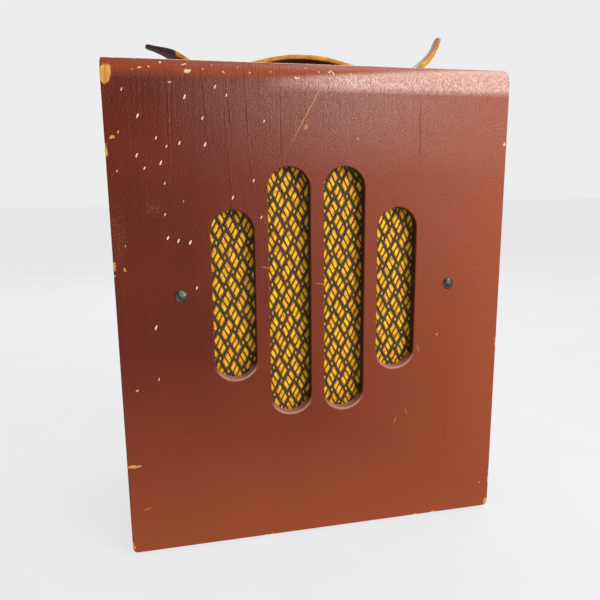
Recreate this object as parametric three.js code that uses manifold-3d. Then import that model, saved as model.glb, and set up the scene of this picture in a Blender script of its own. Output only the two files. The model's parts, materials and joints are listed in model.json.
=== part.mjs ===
// A valve-era tabletop radio in a covered wooden case, in millimetres, +Z up.
// The front faces -Y and holds only the speaker grille: the controls are on the back.
// The origin is the middle of the underside, level with the feet.
import * as THREE from "three";
import { mergeVertices } from "three/addons/utils/BufferGeometryUtils.js";
import Module from "manifold-3d";

const wasm = await Module();
wasm.setup();

// ---------------------------------------------------------------- driving dimensions
const cabinetWidth = 280;
const cabinetHeight = 339; // without the feet
const cabinetDepth = 142;
const boardThickness = 9; // top, sides and bottom
const frontThickness = 8;
const topEdgeRadius = 11; // where the front rolls over into the top
const lowerCornerRadius = 4; // of the case, seen from the front
const touch = 0.3; // left between pieces that touch
const clearance = 0.4; // round a shaft or shank in its hole
const footHeight = 3;
const footRadius = 8;
const footInset = 22;

const grilleOffset = -2.5; // the grille is cut a little to the left of the middle
const grilleHeight = 183.6; // its centre, above the underside of the case
const slotWidth = 29.6;
const slotPitch = 39.4;
const innerSlotLength = 175.4;
const outerSlotLength = 118.4;
const clothThickness = 0.8;
const clothMargin = 13; // past the slots
const baffleThickness = 6;
const baffleMargin = 14; // past the speaker
const trimScrewSpread = 97.5; // from the middle of the case
const trimScrewHeight = 186;
const trimHeadRadius = 4.2;
const trimHeadHeight = 2.4;
const trimShankRadius = 1.8;

const strapWidth = 22;
const strapThickness = 3.5;
const strapEndWidth = 27; // the spade that stops at the loop
const strapTipWidth = 7;
const strapLift = 0.8; // under the strap, where it passes through a loop
const handleOffset = 3; // the handle sits a little to the right of the middle
const archHeight = 12.4; // of the strap between its loops
const loopSpread = 70; // from the middle of the handle to each loop
const loopWidth = 9;
const loopMetal = 1.5;
const loopFoot = 11;
const loopPlay = 2; // over the strap
const loopSidePlay = 0.6; // beside the strap
const tailTravel = 5; // how far each end slides in when the strap is lifted
const loopScrewRadius = 1.5;
const loopHeadRadius = 3.2;
const loopHeadHeight = 1.8;
const loopScrewLength = 7;

const speakerRadius = 101.5;
const speakerOpening = 91;
const speakerDepth = 55; // from flange to back plate
const speakerMetal = 1.4;
const magnetRadius = 34;
const magnetLength = 26;
const coilRadius = 16;
const coilLength = 24;
const coneDepth = 38;
const coneThickness = 1.2;
const coneTravel = 1.5;

const backRecess = 6; // of the back cover, inside the rim
const backThickness = 3;
const cleatSize = 12;
const backScrewHead = 3.6;
const backScrewHeadHeight = 1.9;
const backScrewShank = 1.5;
const ventWidth = 6;
const ventPitch = 20;
const ventLength = 48;

const panelRecess = 20; // of the control panel, inside the rim
const panelHeight = 101;
const sheetMetal = 1.2;
const chassisWidth = 244;
const chassisDepth = 79;
const chassisHeight = 45;
const dialBay = 10.1; // between the chassis and the control panel
const knobHeight = 33; // of the knob centres above the underside of the case
const knobSpread = 80;
const knobRadius = 14;
const knobLength = 15;
const shaftRadius = 3;
const driveRadius = 5; // of the tuning spindle, where it drives the wheel
const wheelRadius = 40; // eight turns of the knob to one of the wheel
const windowRadius = 28;

// ---------------------------------------------------------------- places that follow from them
const floorZ = footHeight; // underside of the case
const roofZ = floorZ + cabinetHeight;
const frontY = (trimHeadHeight - cabinetDepth) / 2; // keeps the whole object centred on the origin
const backY = frontY + cabinetDepth;
const halfWidth = cabinetWidth / 2;
const innerHalf = halfWidth - boardThickness;
const grilleZ = floorZ + grilleHeight;
const speakerZ = floorZ + trimScrewHeight; // the trim screws pass through its flange
const clothY = frontY + frontThickness + touch;
const baffleY = clothY + clothThickness + touch;
const speakerY = baffleY + baffleThickness + touch;
const deckZ = floorZ + boardThickness + touch + chassisHeight;
const panelY = backY - panelRecess; // outer face of the control panel
const apronY = panelY - sheetMetal - dialBay; // outer face of the chassis's back wall
const panelTopZ = floorZ + boardThickness + touch + panelHeight;
const coverY = backY - backRecess - backThickness; // inner face of the back cover
const railZ = panelTopZ + touch;
const knobZ = floorZ + knobHeight;
const dialZ = knobZ + driveRadius + wheelRadius + clearance;
const wheelY = apronY + 2;
const handleY = frontY + cabinetDepth / 2;

// ---------------------------------------------------------------- materials
const paint = (color, roughness, metalness = 0) =>
  new THREE.MeshStandardMaterial({ color, roughness, metalness });
const coveredWood = paint(0x7a3424, 0.5);
const bareWood = paint(0xb98a55, 0.8);
const hardboard = paint(0x5b3a26, 0.85);
const grilleFabric = paint(0xd9a32a, 0.8);
const strapLeather = paint(0x5a2f17, 0.55);
const bronze = paint(0x6a6452, 0.4, 0.9);
const nickel = paint(0xb9b5aa, 0.35, 1);
const rubber = paint(0x1d1b1a, 0.8);
const chassisSteel = paint(0x8f9290, 0.45, 0.9);
const panelPaint = paint(0x3a2318, 0.5);
const bakelite = paint(0x2b140c, 0.25);
const conePaper = paint(0x3a332c, 0.9);
const valveGlass = paint(0xa9b0b3, 0.1);
const canAluminium = paint(0xc2c4c6, 0.4, 1);
const dialPaper = paint(0xe9ddb8, 0.6);
const clearPlastic = paint(0xdfe3dd, 0.1);
const pointerRed = paint(0xa5241c, 0.4);

// ---------------------------------------------------------------- solids
const root = new THREE.Group();

// A closed three.js geometry as a manifold-3d solid that faces out.
function solid(geometry) {
  const bare = geometry.index ? geometry.toNonIndexed() : geometry.clone();
  const points = new THREE.BufferGeometry().setAttribute("position", bare.getAttribute("position"));
  const merged = mergeVertices(points, 1e-4);
  const vertProperties = merged.attributes.position.array;
  const triVerts = new Uint32Array(merged.index.array);
  const made = new wasm.Manifold(new wasm.Mesh({ numProp: 3, vertProperties, triVerts }));
  if (made.volume() > 0) return made;
  return new wasm.Manifold(new wasm.Mesh({ numProp: 3, vertProperties, triVerts: triVerts.reverse() }));
}

const join = (...solids) => solids.reduce((all, next) => all.add(next));
const cut = (from, ...tools) => tools.reduce((left, tool) => left.subtract(tool), from);

function add(name, shape, material) {
  const { vertProperties, triVerts } = shape.getMesh();
  const geometry = new THREE.BufferGeometry()
    .setAttribute("position", new THREE.BufferAttribute(vertProperties, 3))
    .setIndex(new THREE.BufferAttribute(triVerts, 1));
  geometry.computeVertexNormals();
  const mesh = new THREE.Mesh(geometry, material);
  mesh.name = name;
  root.add(mesh);
}

// A box between two corners.
function block([x0, y0, z0], [x1, y1, z1]) {
  const geometry = new THREE.BoxGeometry(x1 - x0, y1 - y0, z1 - z0);
  return solid(geometry.translate((x0 + x1) / 2, (y0 + y1) / 2, (z0 + z1) / 2));
}

// A lathed solid whose axis runs along +Y through (x, z). Its outline is [radius, y] pairs.
function turnedY(outline, x, z, steps = 24) {
  const points = outline.map(([radius, y]) => new THREE.Vector2(radius, y));
  return solid(new THREE.LatheGeometry(points, steps).translate(x, 0, z));
}

// The same about a vertical axis through (x, y). Its outline is [radius, z] pairs.
function turnedZ(outline, x, y, steps = 20) {
  const points = outline.map(([radius, z]) => new THREE.Vector2(radius, z));
  return solid(new THREE.LatheGeometry(points, steps).rotateX(Math.PI / 2).translate(x, y, 0));
}

const rodY = (radius, y0, y1, x, z, steps = 16) =>
  turnedY([[0, y0], [radius, y0], [radius, y1], [0, y1]], x, z, steps);
const rodZ = (radius, z0, z1, x, y, steps = 16) =>
  turnedZ([[0, z0], [radius, z0], [radius, z1], [0, z1]], x, y, steps);

// A shape drawn in X and Z, carried along +Y from y0 to y1.
function plateY(shape, y0, y1, curveSegments = 10) {
  const geometry = new THREE.ExtrudeGeometry(shape, { depth: y1 - y0, bevelEnabled: false, curveSegments });
  return solid(geometry.rotateX(Math.PI / 2).translate(0, y1, 0));
}

// A shape drawn in X and Y, carried along +Z from z0 to z1.
function plateZ(shape, z0, z1, curveSegments = 10) {
  const geometry = new THREE.ExtrudeGeometry(shape, { depth: z1 - z0, bevelEnabled: false, curveSegments });
  return solid(geometry.translate(0, 0, z0));
}

// A shape drawn in Y and Z, carried along +X from x0 to x1.
function plateX(shape, x0, x1, curveSegments = 10) {
  const geometry = new THREE.ExtrudeGeometry(shape, { depth: x1 - x0, bevelEnabled: false, curveSegments });
  const swap = new THREE.Matrix4().makeBasis(
    new THREE.Vector3(0, 1, 0),
    new THREE.Vector3(0, 0, 1),
    new THREE.Vector3(1, 0, 0),
  );
  return solid(geometry.applyMatrix4(swap).translate(x0, 0, 0));
}

const outlineOf = (pairs) => new THREE.Shape(pairs.map(([a, b]) => new THREE.Vector2(a, b)));

// An upright slot with round ends, centred on (x, z).
function stadium(x, z, width, length) {
  const radius = width / 2;
  const reach = length / 2 - radius;
  const shape = new THREE.Shape();
  shape.moveTo(x + radius, z - reach);
  shape.lineTo(x + radius, z + reach);
  shape.absarc(x, z + reach, radius, 0, Math.PI, false);
  shape.lineTo(x - radius, z - reach);
  shape.absarc(x, z - reach, radius, Math.PI, 2 * Math.PI, false);
  return shape;
}

// A round-headed screw driven along -Y, its head standing on y.
function screwY(x, y, z, head, headHeight, shank, length) {
  return turnedY([
    [0, y - length],
    [shank, y - length + shank],
    [shank, y],
    [head, y],
    [head * 0.95, y + headHeight * 0.45],
    [head * 0.6, y + headHeight * 0.9],
    [0, y + headHeight],
  ], x, z, 12);
}

// ---------------------------------------------------------------- case
// Front and top are one rolled outline, split by a mitre through the corner.
function caseBoards() {
  const rolled = new THREE.Shape();
  rolled.moveTo(frontY, floorZ);
  rolled.lineTo(frontY, roofZ - topEdgeRadius);
  rolled.absarc(frontY + topEdgeRadius, roofZ - topEdgeRadius, topEdgeRadius, Math.PI, Math.PI / 2, true);
  rolled.lineTo(backY, roofZ);
  rolled.lineTo(backY, roofZ - boardThickness);
  rolled.lineTo(frontY + frontThickness, roofZ - boardThickness);
  rolled.lineTo(frontY + frontThickness, floorZ);
  const both = plateX(rolled, -halfWidth, halfWidth, 8);

  // The mitre runs through the inside corner and the outside one.
  const along = new THREE.Vector2(-frontThickness, boardThickness).normalize();
  const away = new THREE.Vector2(along.y, -along.x).multiplyScalar(touch / 2);
  const inner = new THREE.Vector2(frontY + frontThickness, roofZ - boardThickness);
  const reach = cabinetHeight + cabinetDepth;
  const half = (side) => {
    const start = inner.clone().addScaledVector(away, side);
    const corners = [
      start.clone().addScaledVector(along, -2 * boardThickness),
      start.clone().addScaledVector(along, 2 * boardThickness),
      start.clone().addScaledVector(along, 2 * boardThickness).addScaledVector(away, side * reach * 10),
      start.clone().addScaledVector(along, -reach * 2).addScaledVector(away, side * reach * 10),
      start.clone().addScaledVector(along, -reach * 2),
    ];
    return plateX(new THREE.Shape(corners), -halfWidth - 1, halfWidth + 1);
  };
  return { front: both.intersect(half(-1)), top: both.intersect(half(1)) };
}

// Seen from the front, the case has square upper corners and rounded lower ones.
function caseOutline() {
  const shape = new THREE.Shape();
  const straight = halfWidth - lowerCornerRadius;
  shape.moveTo(-halfWidth, roofZ + 1);
  shape.lineTo(-halfWidth, floorZ + lowerCornerRadius);
  shape.absarc(-straight, floorZ + lowerCornerRadius, lowerCornerRadius, Math.PI, 1.5 * Math.PI, false);
  shape.lineTo(straight, floorZ);
  shape.absarc(straight, floorZ + lowerCornerRadius, lowerCornerRadius, 1.5 * Math.PI, 2 * Math.PI, false);
  shape.lineTo(halfWidth, roofZ + 1);
  return plateY(shape, frontY - 1, backY + 1, 6);
}

const slotPlaces = [-1.5, -0.5, 0.5, 1.5].map((step) => ({
  x: grilleOffset + step * slotPitch,
  length: Math.abs(step) > 1 ? outerSlotLength : innerSlotLength,
}));
const trimPlaces = [["left", -1], ["right", 1]];
const boards = caseBoards();
const outline = caseOutline();

const slots = slotPlaces.map(({ x, length }) =>
  plateY(stadium(x, grilleZ, slotWidth, length), frontY - 1, frontY + frontThickness + 1));
const trimHoles = trimPlaces.map(([, side]) =>
  rodY(trimShankRadius + clearance, frontY - 1, speakerY + speakerMetal + 1, side * trimScrewSpread, speakerZ));
add("front_board", cut(boards.front.intersect(outline), ...slots, ...trimHoles), coveredWood);

const loopScrewY = strapWidth / 2 + loopSidePlay + loopMetal + loopFoot / 2;
const loopScrewPlaces = [-1, 1].flatMap((side) => [-1, 1].map((way) => ({
  x: handleOffset + side * loopSpread,
  y: handleY + way * loopScrewY,
  name: `handle_loop_screw_${side < 0 ? "left" : "right"}_${way < 0 ? "front" : "rear"}`,
})));
const loopHoles = loopScrewPlaces.map(({ x, y }) =>
  rodZ(loopScrewRadius + clearance, roofZ - loopScrewLength - 1, roofZ + loopMetal + 1, x, y, 12));
add("top_board", cut(boards.top, ...loopHoles), coveredWood);

for (const [name, side] of [["side_board_left", -1], ["side_board_right", 1]]) {
  const outer = side * halfWidth;
  const inner = side * innerHalf;
  const board = block(
    [Math.min(outer, inner), frontY + frontThickness + touch, floorZ],
    [Math.max(outer, inner), backY, roofZ - boardThickness - touch],
  );
  add(name, board.intersect(outline), coveredWood);
}
add("bottom_board", block(
  [-innerHalf + touch, frontY + frontThickness + touch, floorZ],
  [innerHalf - touch, backY, floorZ + boardThickness],
), coveredWood);

for (const [name, sideX, sideY] of [
  ["foot_front_left", -1, -1],
  ["foot_front_right", 1, -1],
  ["foot_rear_left", -1, 1],
  ["foot_rear_right", 1, 1],
]) {
  const x = sideX * (halfWidth - footInset);
  const y = handleY + sideY * (cabinetDepth / 2 - footInset);
  const profile = [[0, 0], [footRadius - 0.8, 0], [footRadius, footHeight - touch], [0, footHeight - touch]];
  add(name, turnedZ(profile, x, y, 20), rubber);
}

// ---------------------------------------------------------------- back
const cleatY = coverY - touch - cleatSize;
const coverHalf = innerHalf - touch;
const coverTopZ = roofZ - boardThickness - touch;
const cleatBottomZ = railZ + cleatSize + touch;
const screwInset = cleatSize / 2 + touch;
const backScrewPlaces = [
  ["back_screw_lower_left", -1, railZ + cleatSize / 2],
  ["back_screw_lower_right", 1, railZ + cleatSize / 2],
  ["back_screw_upper_left", -1, coverTopZ - screwInset],
  ["back_screw_upper_right", 1, coverTopZ - screwInset],
].map(([name, side, z]) => ({ name, x: side * (innerHalf - screwInset), z }));
const backScrewLength = backThickness + cleatSize - 3;
const backHoles = backScrewPlaces.map(({ x, z }) =>
  rodY(backScrewShank + clearance, cleatY + 1.5, backY, x, z, 12));

for (const [name, side] of [["rear_cleat_left", -1], ["rear_cleat_right", 1]]) {
  const near = side * (innerHalf - touch);
  const far = side * (innerHalf - touch - cleatSize);
  const cleat = block(
    [Math.min(near, far), cleatY, cleatBottomZ],
    [Math.max(near, far), coverY - touch, coverTopZ],
  );
  add(name, cut(cleat, ...backHoles), bareWood);
}
const rail = block([-coverHalf, cleatY, railZ], [coverHalf, coverY - touch, railZ + cleatSize]);
add("rear_rail", cut(rail, ...backHoles), coveredWood);

const ventRows = [
  { z: railZ + 48, count: 9 },
  { z: coverTopZ - 42, count: 7 },
];
const vents = ventRows.flatMap(({ z, count }) =>
  Array.from({ length: count }, (_, i) => (i - (count - 1) / 2) * ventPitch).map((x) =>
    plateY(stadium(x, z, ventWidth, ventLength), coverY - 1, coverY + backThickness + 1, 3)));
const cover = block([-coverHalf, coverY, railZ], [coverHalf, coverY + backThickness, coverTopZ]);
add("back_cover", cut(cover, ...vents, ...backHoles), hardboard);
for (const { name, x, z } of backScrewPlaces) {
  const screw = screwY(x, coverY + backThickness + touch / 3, z, backScrewHead, backScrewHeadHeight,
    backScrewShank, backScrewLength);
  add(name, screw, nickel);
}

// ---------------------------------------------------------------- grille, baffle and their two trim screws
const clothHalf = 1.5 * slotPitch + slotWidth / 2 + clothMargin;
const clothHalfHeight = innerSlotLength / 2 + clothMargin;
add("grille_cloth", block(
  [grilleOffset - clothHalf, clothY, grilleZ - clothHalfHeight],
  [grilleOffset + clothHalf, clothY + clothThickness, grilleZ + clothHalfHeight],
), grilleFabric);

const baffleHalf = speakerRadius + baffleMargin;
const baffle = block(
  [-baffleHalf, baffleY, speakerZ - baffleHalf],
  [baffleHalf, baffleY + baffleThickness, speakerZ + baffleHalf],
);
const opening = rodY(speakerOpening, baffleY - 1, baffleY + baffleThickness + 1, 0, speakerZ, 40);
add("baffle_board", cut(baffle, opening, ...trimHoles), bareWood);

// The domed trim screws hold the speaker: they come out behind its flange.
for (const [name, side] of trimPlaces) {
  const x = side * trimScrewSpread;
  const face = frontY - touch / 3;
  const end = speakerY + speakerMetal + 5;
  const screw = turnedY([
    [0, frontY - trimHeadHeight],
    [trimHeadRadius * 0.35, frontY - trimHeadHeight * 0.97],
    [trimHeadRadius * 0.7, frontY - trimHeadHeight * 0.75],
    [trimHeadRadius * 0.93, frontY - trimHeadHeight * 0.4],
    [trimHeadRadius, face],
    [trimShankRadius, face],
    [trimShankRadius, end - 0.8],
    [trimShankRadius - 0.8, end],
    [0, end],
  ], x, speakerZ, 18);
  add(`trim_screw_${name}`, screw, bronze);
}

// ---------------------------------------------------------------- strap handle
const strapMidZ = roofZ + strapLift + strapThickness / 2;
const archReach = loopSpread - loopWidth / 2 - 1; // where the strap lies level again
const gripHalf = archReach - 6; // the part that only rises
const shoulder = loopSpread + loopWidth / 2 + 1; // where the end starts to curl up
const spadeStart = loopSpread + loopWidth / 2 + tailTravel + 1;

// The strap's middle line, in X and Z, from one tip to the other. Each end curls up past its loop.
function strapLine() {
  const point = (x, rise) => new THREE.Vector2(handleOffset + x, strapMidZ + rise);
  const curl = (side, [first, second, tip]) => new THREE.CubicBezierCurve(
    point(side * shoulder, 0),
    point(side * (loopSpread + first[0]), first[1]),
    point(side * (loopSpread + second[0]), second[1]),
    point(side * (loopSpread + tip[0]), tip[1]),
  );
  const left = curl(-1, [[12, 0], [15.5, 11.5], [46, 17.6]]).getPoints(16).reverse();
  const right = curl(1, [[17, 2.5], [39, 13], [43.5, 32.5]]).getPoints(16);
  const arch = Array.from({ length: 41 }, (_, i) => {
    const across = i / 20 - 1;
    return point(across * archReach, archHeight * (1 - across ** 2) ** 1.5);
  });
  return [...left, ...arch, ...right];
}

// The upright outline of a strap of one thickness along a line of points.
function strapOutline(line) {
  const offset = line.map((_, i) => {
    const before = line[Math.max(i - 1, 0)];
    const after = line[Math.min(i + 1, line.length - 1)];
    const along = after.clone().sub(before).normalize();
    return new THREE.Vector2(-along.y, along.x).multiplyScalar(strapThickness / 2);
  });
  const upper = line.map((p, i) => p.clone().add(offset[i]));
  const lower = line.map((p, i) => p.clone().sub(offset[i])).reverse();
  return new THREE.Shape([...upper, ...lower]);
}

// Seen from above: one width between the loops, a wider spade past each, then a blunt point.
function strapPlan() {
  const half = [
    [spadeStart, strapWidth / 2],
    [spadeStart + 5, strapEndWidth / 2],
    [spadeStart + 14, strapEndWidth / 2],
    [loopSpread + 42, strapTipWidth / 2 + 2.5],
    [loopSpread + 60, strapTipWidth / 2],
  ];
  const corner = (side, way) => half.map(([x, y]) => [handleOffset + side * x, handleY + way * y]);
  return outlineOf([
    ...corner(1, 1),
    ...corner(1, -1).reverse(),
    ...corner(-1, -1),
    ...corner(-1, 1).reverse(),
  ]);
}

// The strap parts on a slant at each end of the grip, so that the grip can rise off its ends.
function strapPieces() {
  const widest = strapEndWidth / 2 + 1;
  const whole = plateY(strapOutline(strapLine()), handleY - widest, handleY + widest)
    .intersect(plateZ(strapPlan(), roofZ, roofZ + 80));
  const low = strapMidZ - 20;
  const high = strapMidZ + 60;
  const slant = Math.tan(Math.PI / 6);
  const edge = (side, gap, z) => handleOffset + side * (gripHalf + gap + (z - strapMidZ) * slant);
  const middle = outlineOf([
    [edge(-1, 0, low), low],
    [edge(1, 0, low), low],
    [edge(1, 0, high), high],
    [edge(-1, 0, high), high],
  ]);
  const end = (side) => outlineOf([
    [edge(side, touch, low), low],
    [handleOffset + side * 200, low],
    [handleOffset + side * 200, high],
    [edge(side, touch, high), high],
  ]);
  const [near, far] = [handleY - widest, handleY + widest];
  return {
    grip: whole.intersect(plateY(middle, near, far)),
    left: whole.intersect(plateY(end(-1), near, far)),
    right: whole.intersect(plateY(end(1), near, far)),
  };
}
const strap = strapPieces();
add("strap_grip", strap.grip, strapLeather);
add("strap_tail_left", strap.left, strapLeather);
add("strap_tail_right", strap.right, strapLeather);

// A loop is a strip of metal bridged over the strap, with a foot at each side.
function strapLoop(x) {
  const low = roofZ + touch / 3;
  const inside = strapWidth / 2 + loopSidePlay;
  const outside = inside + loopMetal;
  const ceiling = roofZ + strapLift + strapThickness + loopPlay;
  const half = [
    [outside + loopFoot, low],
    [outside + loopFoot, low + loopMetal],
    [outside, low + loopMetal],
    [outside, ceiling + loopMetal * 0.4],
    [outside - loopMetal * 0.6, ceiling + loopMetal],
  ];
  const over = half.map(([y, z]) => [handleY + y, z]);
  const back = half.slice().reverse().map(([y, z]) => [handleY - y, z]);
  const under = [
    [handleY - inside, low],
    [handleY - inside, ceiling],
    [handleY + inside, ceiling],
    [handleY + inside, low],
  ];
  return plateX(outlineOf([...over, ...back, ...under]), x - loopWidth / 2, x + loopWidth / 2);
}
for (const [name, side] of [["handle_loop_left", -1], ["handle_loop_right", 1]]) {
  add(name, cut(strapLoop(handleOffset + side * loopSpread), ...loopHoles), nickel);
}
for (const { name, x, y } of loopScrewPlaces) {
  const seat = roofZ + touch / 3 + loopMetal + touch / 3;
  const screw = turnedZ([
    [0, roofZ - loopScrewLength],
    [loopScrewRadius, roofZ - loopScrewLength + loopScrewRadius],
    [loopScrewRadius, seat],
    [loopHeadRadius, seat],
    [loopHeadRadius * 0.92, seat + loopHeadHeight * 0.5],
    [loopHeadRadius * 0.5, seat + loopHeadHeight * 0.95],
    [0, seat + loopHeadHeight],
  ], x, y, 12);
  add(name, screw, nickel);
}

// ---------------------------------------------------------------- speaker
const neckRadius = coilRadius + 6;
const plateY0 = speakerY + speakerDepth;
const basketOutline = [
  [speakerRadius, speakerY],
  [speakerRadius, speakerY + speakerMetal],
  [speakerOpening + 2, speakerY + speakerMetal],
  [speakerOpening - 2, speakerY + 6],
  [magnetRadius + 8, plateY0 - 4],
  [magnetRadius + 6, plateY0],
  [neckRadius, plateY0],
  [neckRadius, plateY0 - speakerMetal],
  [magnetRadius + 5, plateY0 - speakerMetal],
  [speakerOpening - 4, speakerY + 6],
  [speakerOpening - 1, speakerY],
  [speakerRadius, speakerY],
];
const basketWindows = Array.from({ length: 4 }, (_, i) => Math.PI / 4 + (i * Math.PI) / 2).map((turn) => {
  const window = new THREE.CylinderGeometry(13, 24, 42, 4, 1).rotateY(Math.PI / 4).scale(1.3, 1, 0.35);
  window.rotateZ(-Math.PI / 2).translate((magnetRadius + speakerOpening) / 2 + 4, 0, 0).rotateY(turn);
  return solid(window.translate(0, speakerY + speakerDepth * 0.55, speakerZ));
});
const basket = cut(turnedY(basketOutline, 0, speakerZ, 28), ...basketWindows, ...trimHoles);
add("speaker_frame", basket, chassisSteel);

const poleRadius = coilRadius - 2;
const potY = plateY0 + touch;
const pot = turnedY([
  [magnetRadius, potY],
  [magnetRadius, potY + magnetLength - 3],
  [magnetRadius - 3, potY + magnetLength],
  [0, potY + magnetLength],
  [0, potY - 6],
  [poleRadius, potY - 6],
  [poleRadius, potY + magnetLength - 8],
  [coilRadius + 2, potY + magnetLength - 8],
  [coilRadius + 2, potY],
  [magnetRadius, potY],
], 0, speakerZ, 28);
add("speaker_magnet", pot, chassisSteel);

// The cone is paper, glued at its neck to the voice coil's former.
const coneRim = speakerOpening - 8;
const coneFrontY = speakerY + 2 + coneTravel;
const neckY = coneFrontY + coneDepth;
const cone = turnedY([
  [coneRim, coneFrontY],
  [coneRim, coneFrontY + coneThickness],
  [coneRim - 4, coneFrontY + coneThickness + 2],
  [coneRim * 0.6, coneFrontY + coneDepth * 0.5 + coneThickness],
  [coilRadius + 1.2, neckY],
  [coilRadius + 1.2, neckY - coneThickness * 1.4],
  [coilRadius - 3, neckY - 6],
  [0, neckY - 9],
  [0, neckY - 10.2],
  [coilRadius - 2, neckY - 7.4],
  [coilRadius + 1, neckY - 3.4],
  [coneRim * 0.6, coneFrontY + coneDepth * 0.5 - coneThickness * 0.4],
  [coneRim - 4, coneFrontY + 1],
  [coneRim, coneFrontY],
], 0, speakerZ, 24);
add("speaker_cone", cone, conePaper);
const former = turnedY([
  [coilRadius - 1, neckY + touch],
  [coilRadius, neckY + touch],
  [coilRadius, neckY + coilLength],
  [coilRadius - 1, neckY + coilLength],
  [coilRadius - 1, neckY + touch],
], 0, speakerZ, 24);
add("voice_coil", former, bronze);

const lamination = { width: 38, depth: 30, height: 32 };
const transformerX = baffleHalf - lamination.width / 2 - 2;
const transformerZ = speakerZ + baffleHalf - lamination.height / 2 - 2;
const transformerY = baffleY + baffleThickness + touch;
const core = block(
  [transformerX - lamination.width / 2, transformerY, transformerZ - lamination.height / 2],
  [transformerX + lamination.width / 2, transformerY + lamination.depth * 0.5, transformerZ + lamination.height / 2],
);
const winding = block(
  [transformerX - lamination.width / 4, transformerY + 1, transformerZ - lamination.height / 2 + 5],
  [transformerX + lamination.width / 4, transformerY + lamination.depth, transformerZ + lamination.height / 2 - 5],
);
add("output_transformer", join(core, winding), chassisSteel);

// ---------------------------------------------------------------- chassis and what stands on it
const chassisHalf = chassisWidth / 2;
const chassisFrontY = apronY - chassisDepth;
const chassisFloorZ = floorZ + boardThickness + touch;
const capFrontY = chassisFrontY + 20;
const capBackY = apronY - 12;
const knobPlaces = { volume: -knobSpread, tuning: 0, tone: knobSpread };
const shaftHoles = Object.values(knobPlaces).map((x) =>
  rodY(shaftRadius + clearance, chassisFrontY + 5, panelY + 1, x, knobZ));
const tray = block([-chassisHalf, chassisFrontY, chassisFloorZ], [chassisHalf, apronY, deckZ]);
const hollow = block(
  [-chassisHalf - 1, chassisFrontY + sheetMetal, chassisFloorZ - 1],
  [chassisHalf + 1, apronY - sheetMetal, deckZ - sheetMetal],
);

const valveRows = [
  ["valve_rf_amplifier", -102, 19, 84],
  ["valve_detector", -58, 18, 78],
  ["valve_output", 58, 20, 88],
  ["valve_rectifier", 102, 19, 84],
].map(([name, x, radius, height]) => ({ name, x, radius, height }));
const valveY = apronY - 24;
const valvePinRadius = 9;
const canPlaces = [
  { name: "aerial_coil_can", x: -48, radius: 14, height: 46 },
  { name: "filter_capacitor", x: 48, radius: 13, height: 44 },
];
const canY = chassisFrontY + 17;
const valveHoles = valveRows.map(({ x }) =>
  rodZ(valvePinRadius + clearance, deckZ - 5, deckZ + 5, x, valveY));
add("chassis", cut(tray, hollow, ...shaftHoles, ...valveHoles), chassisSteel);

// Each valve is a domed glass bulb on a moulded base whose key passes into the deck.
for (const { name, x, radius, height } of valveRows) {
  const seat = deckZ + touch;
  add(name, turnedZ([
    [0, seat - 4],
    [valvePinRadius, seat - 4],
    [valvePinRadius, seat],
    [radius * 0.82, seat],
    [radius * 0.82, seat + 22],
    [radius * 0.7, seat + 24],
    [radius, seat + height * 0.5],
    [radius, seat + height * 0.62],
    [radius * 0.62, seat + height * 0.78],
    [radius * 0.6, seat + height * 0.92],
    [radius * 0.35, seat + height],
    [0, seat + height],
  ], x, valveY, 14), valveGlass);
}
for (const { name, x, radius, height } of canPlaces) {
  const seat = deckZ + touch;
  add(name, turnedZ([
    [0, seat],
    [radius + 1.5, seat],
    [radius + 1.5, seat + 1.5],
    [radius, seat + 1.5],
    [radius, seat + height - 1.5],
    [radius - 1.5, seat + height],
    [0, seat + height],
  ], x, canY, 18), canAluminium);
}

// ---------------------------------------------------------------- tuning capacitor and dial drive
const capHalf = 21;
const capBaseZ = deckZ + touch;
const capTopZ = dialZ + 24;
const rotorRadius = 16;
const plateMetal = 0.8;
const platePitch = 4;
const platesInGang = 3;
const gangY = [capFrontY + 5, capFrontY + 5 + platesInGang * platePitch + 5];
const platePlaces = gangY.flatMap((y) => Array.from({ length: platesInGang }, (_, i) => y + i * platePitch));

const capFrame = join(
  block([-capHalf, capFrontY, capBaseZ], [capHalf, capBackY, capBaseZ + 1.6]),
  block([-capHalf, capFrontY, capBaseZ], [capHalf, capFrontY + 1.6, capTopZ]),
  block([-capHalf, capBackY - 1.6, capBaseZ], [capHalf, capBackY, capTopZ]),
);
const bearing = rodY(shaftRadius + clearance, capFrontY - 1, capBackY + 1, 0, dialZ);
add("capacitor_frame", cut(capFrame, bearing), canAluminium);

// Stator plates hang on two rods, and are open round the shaft.
const statorLowZ = dialZ - rotorRadius - 4;
const statorPlates = platePlaces.map((y) => block(
  [-rotorRadius - 3, y + platePitch / 2, statorLowZ],
  [rotorRadius + 3, y + platePitch / 2 + plateMetal, dialZ - 1],
));
const shaftRoom = rodY(shaftRadius + 2.5, capFrontY, capBackY, 0, dialZ, 12);
const statorRods = [-1, 1].map((side) =>
  rodY(1.3, capFrontY + 1.6 + touch, capBackY - 1.6 - touch, side * (rotorRadius + 1.5), statorLowZ + 1.5, 6));
add("capacitor_stator", join(cut(join(...statorPlates), shaftRoom), ...statorRods), canAluminium);

// Rotor plates are half discs. At rest they are half in mesh.
const halfDisc = new THREE.Shape();
halfDisc.moveTo(0, dialZ - rotorRadius);
halfDisc.absarc(0, dialZ, rotorRadius, -Math.PI / 2, Math.PI / 2, false);
const rotorPlates = platePlaces.map((y) => plateY(halfDisc, y, y + plateMetal, 8));
const pointerY = wheelY + 4.6;
const shaftEndY = pointerY + 1.1;
const rotorShaft = rodY(shaftRadius, capFrontY - 2, shaftEndY, 0, dialZ);
add("capacitor_rotor", join(rotorShaft, ...rotorPlates), canAluminium);

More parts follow.
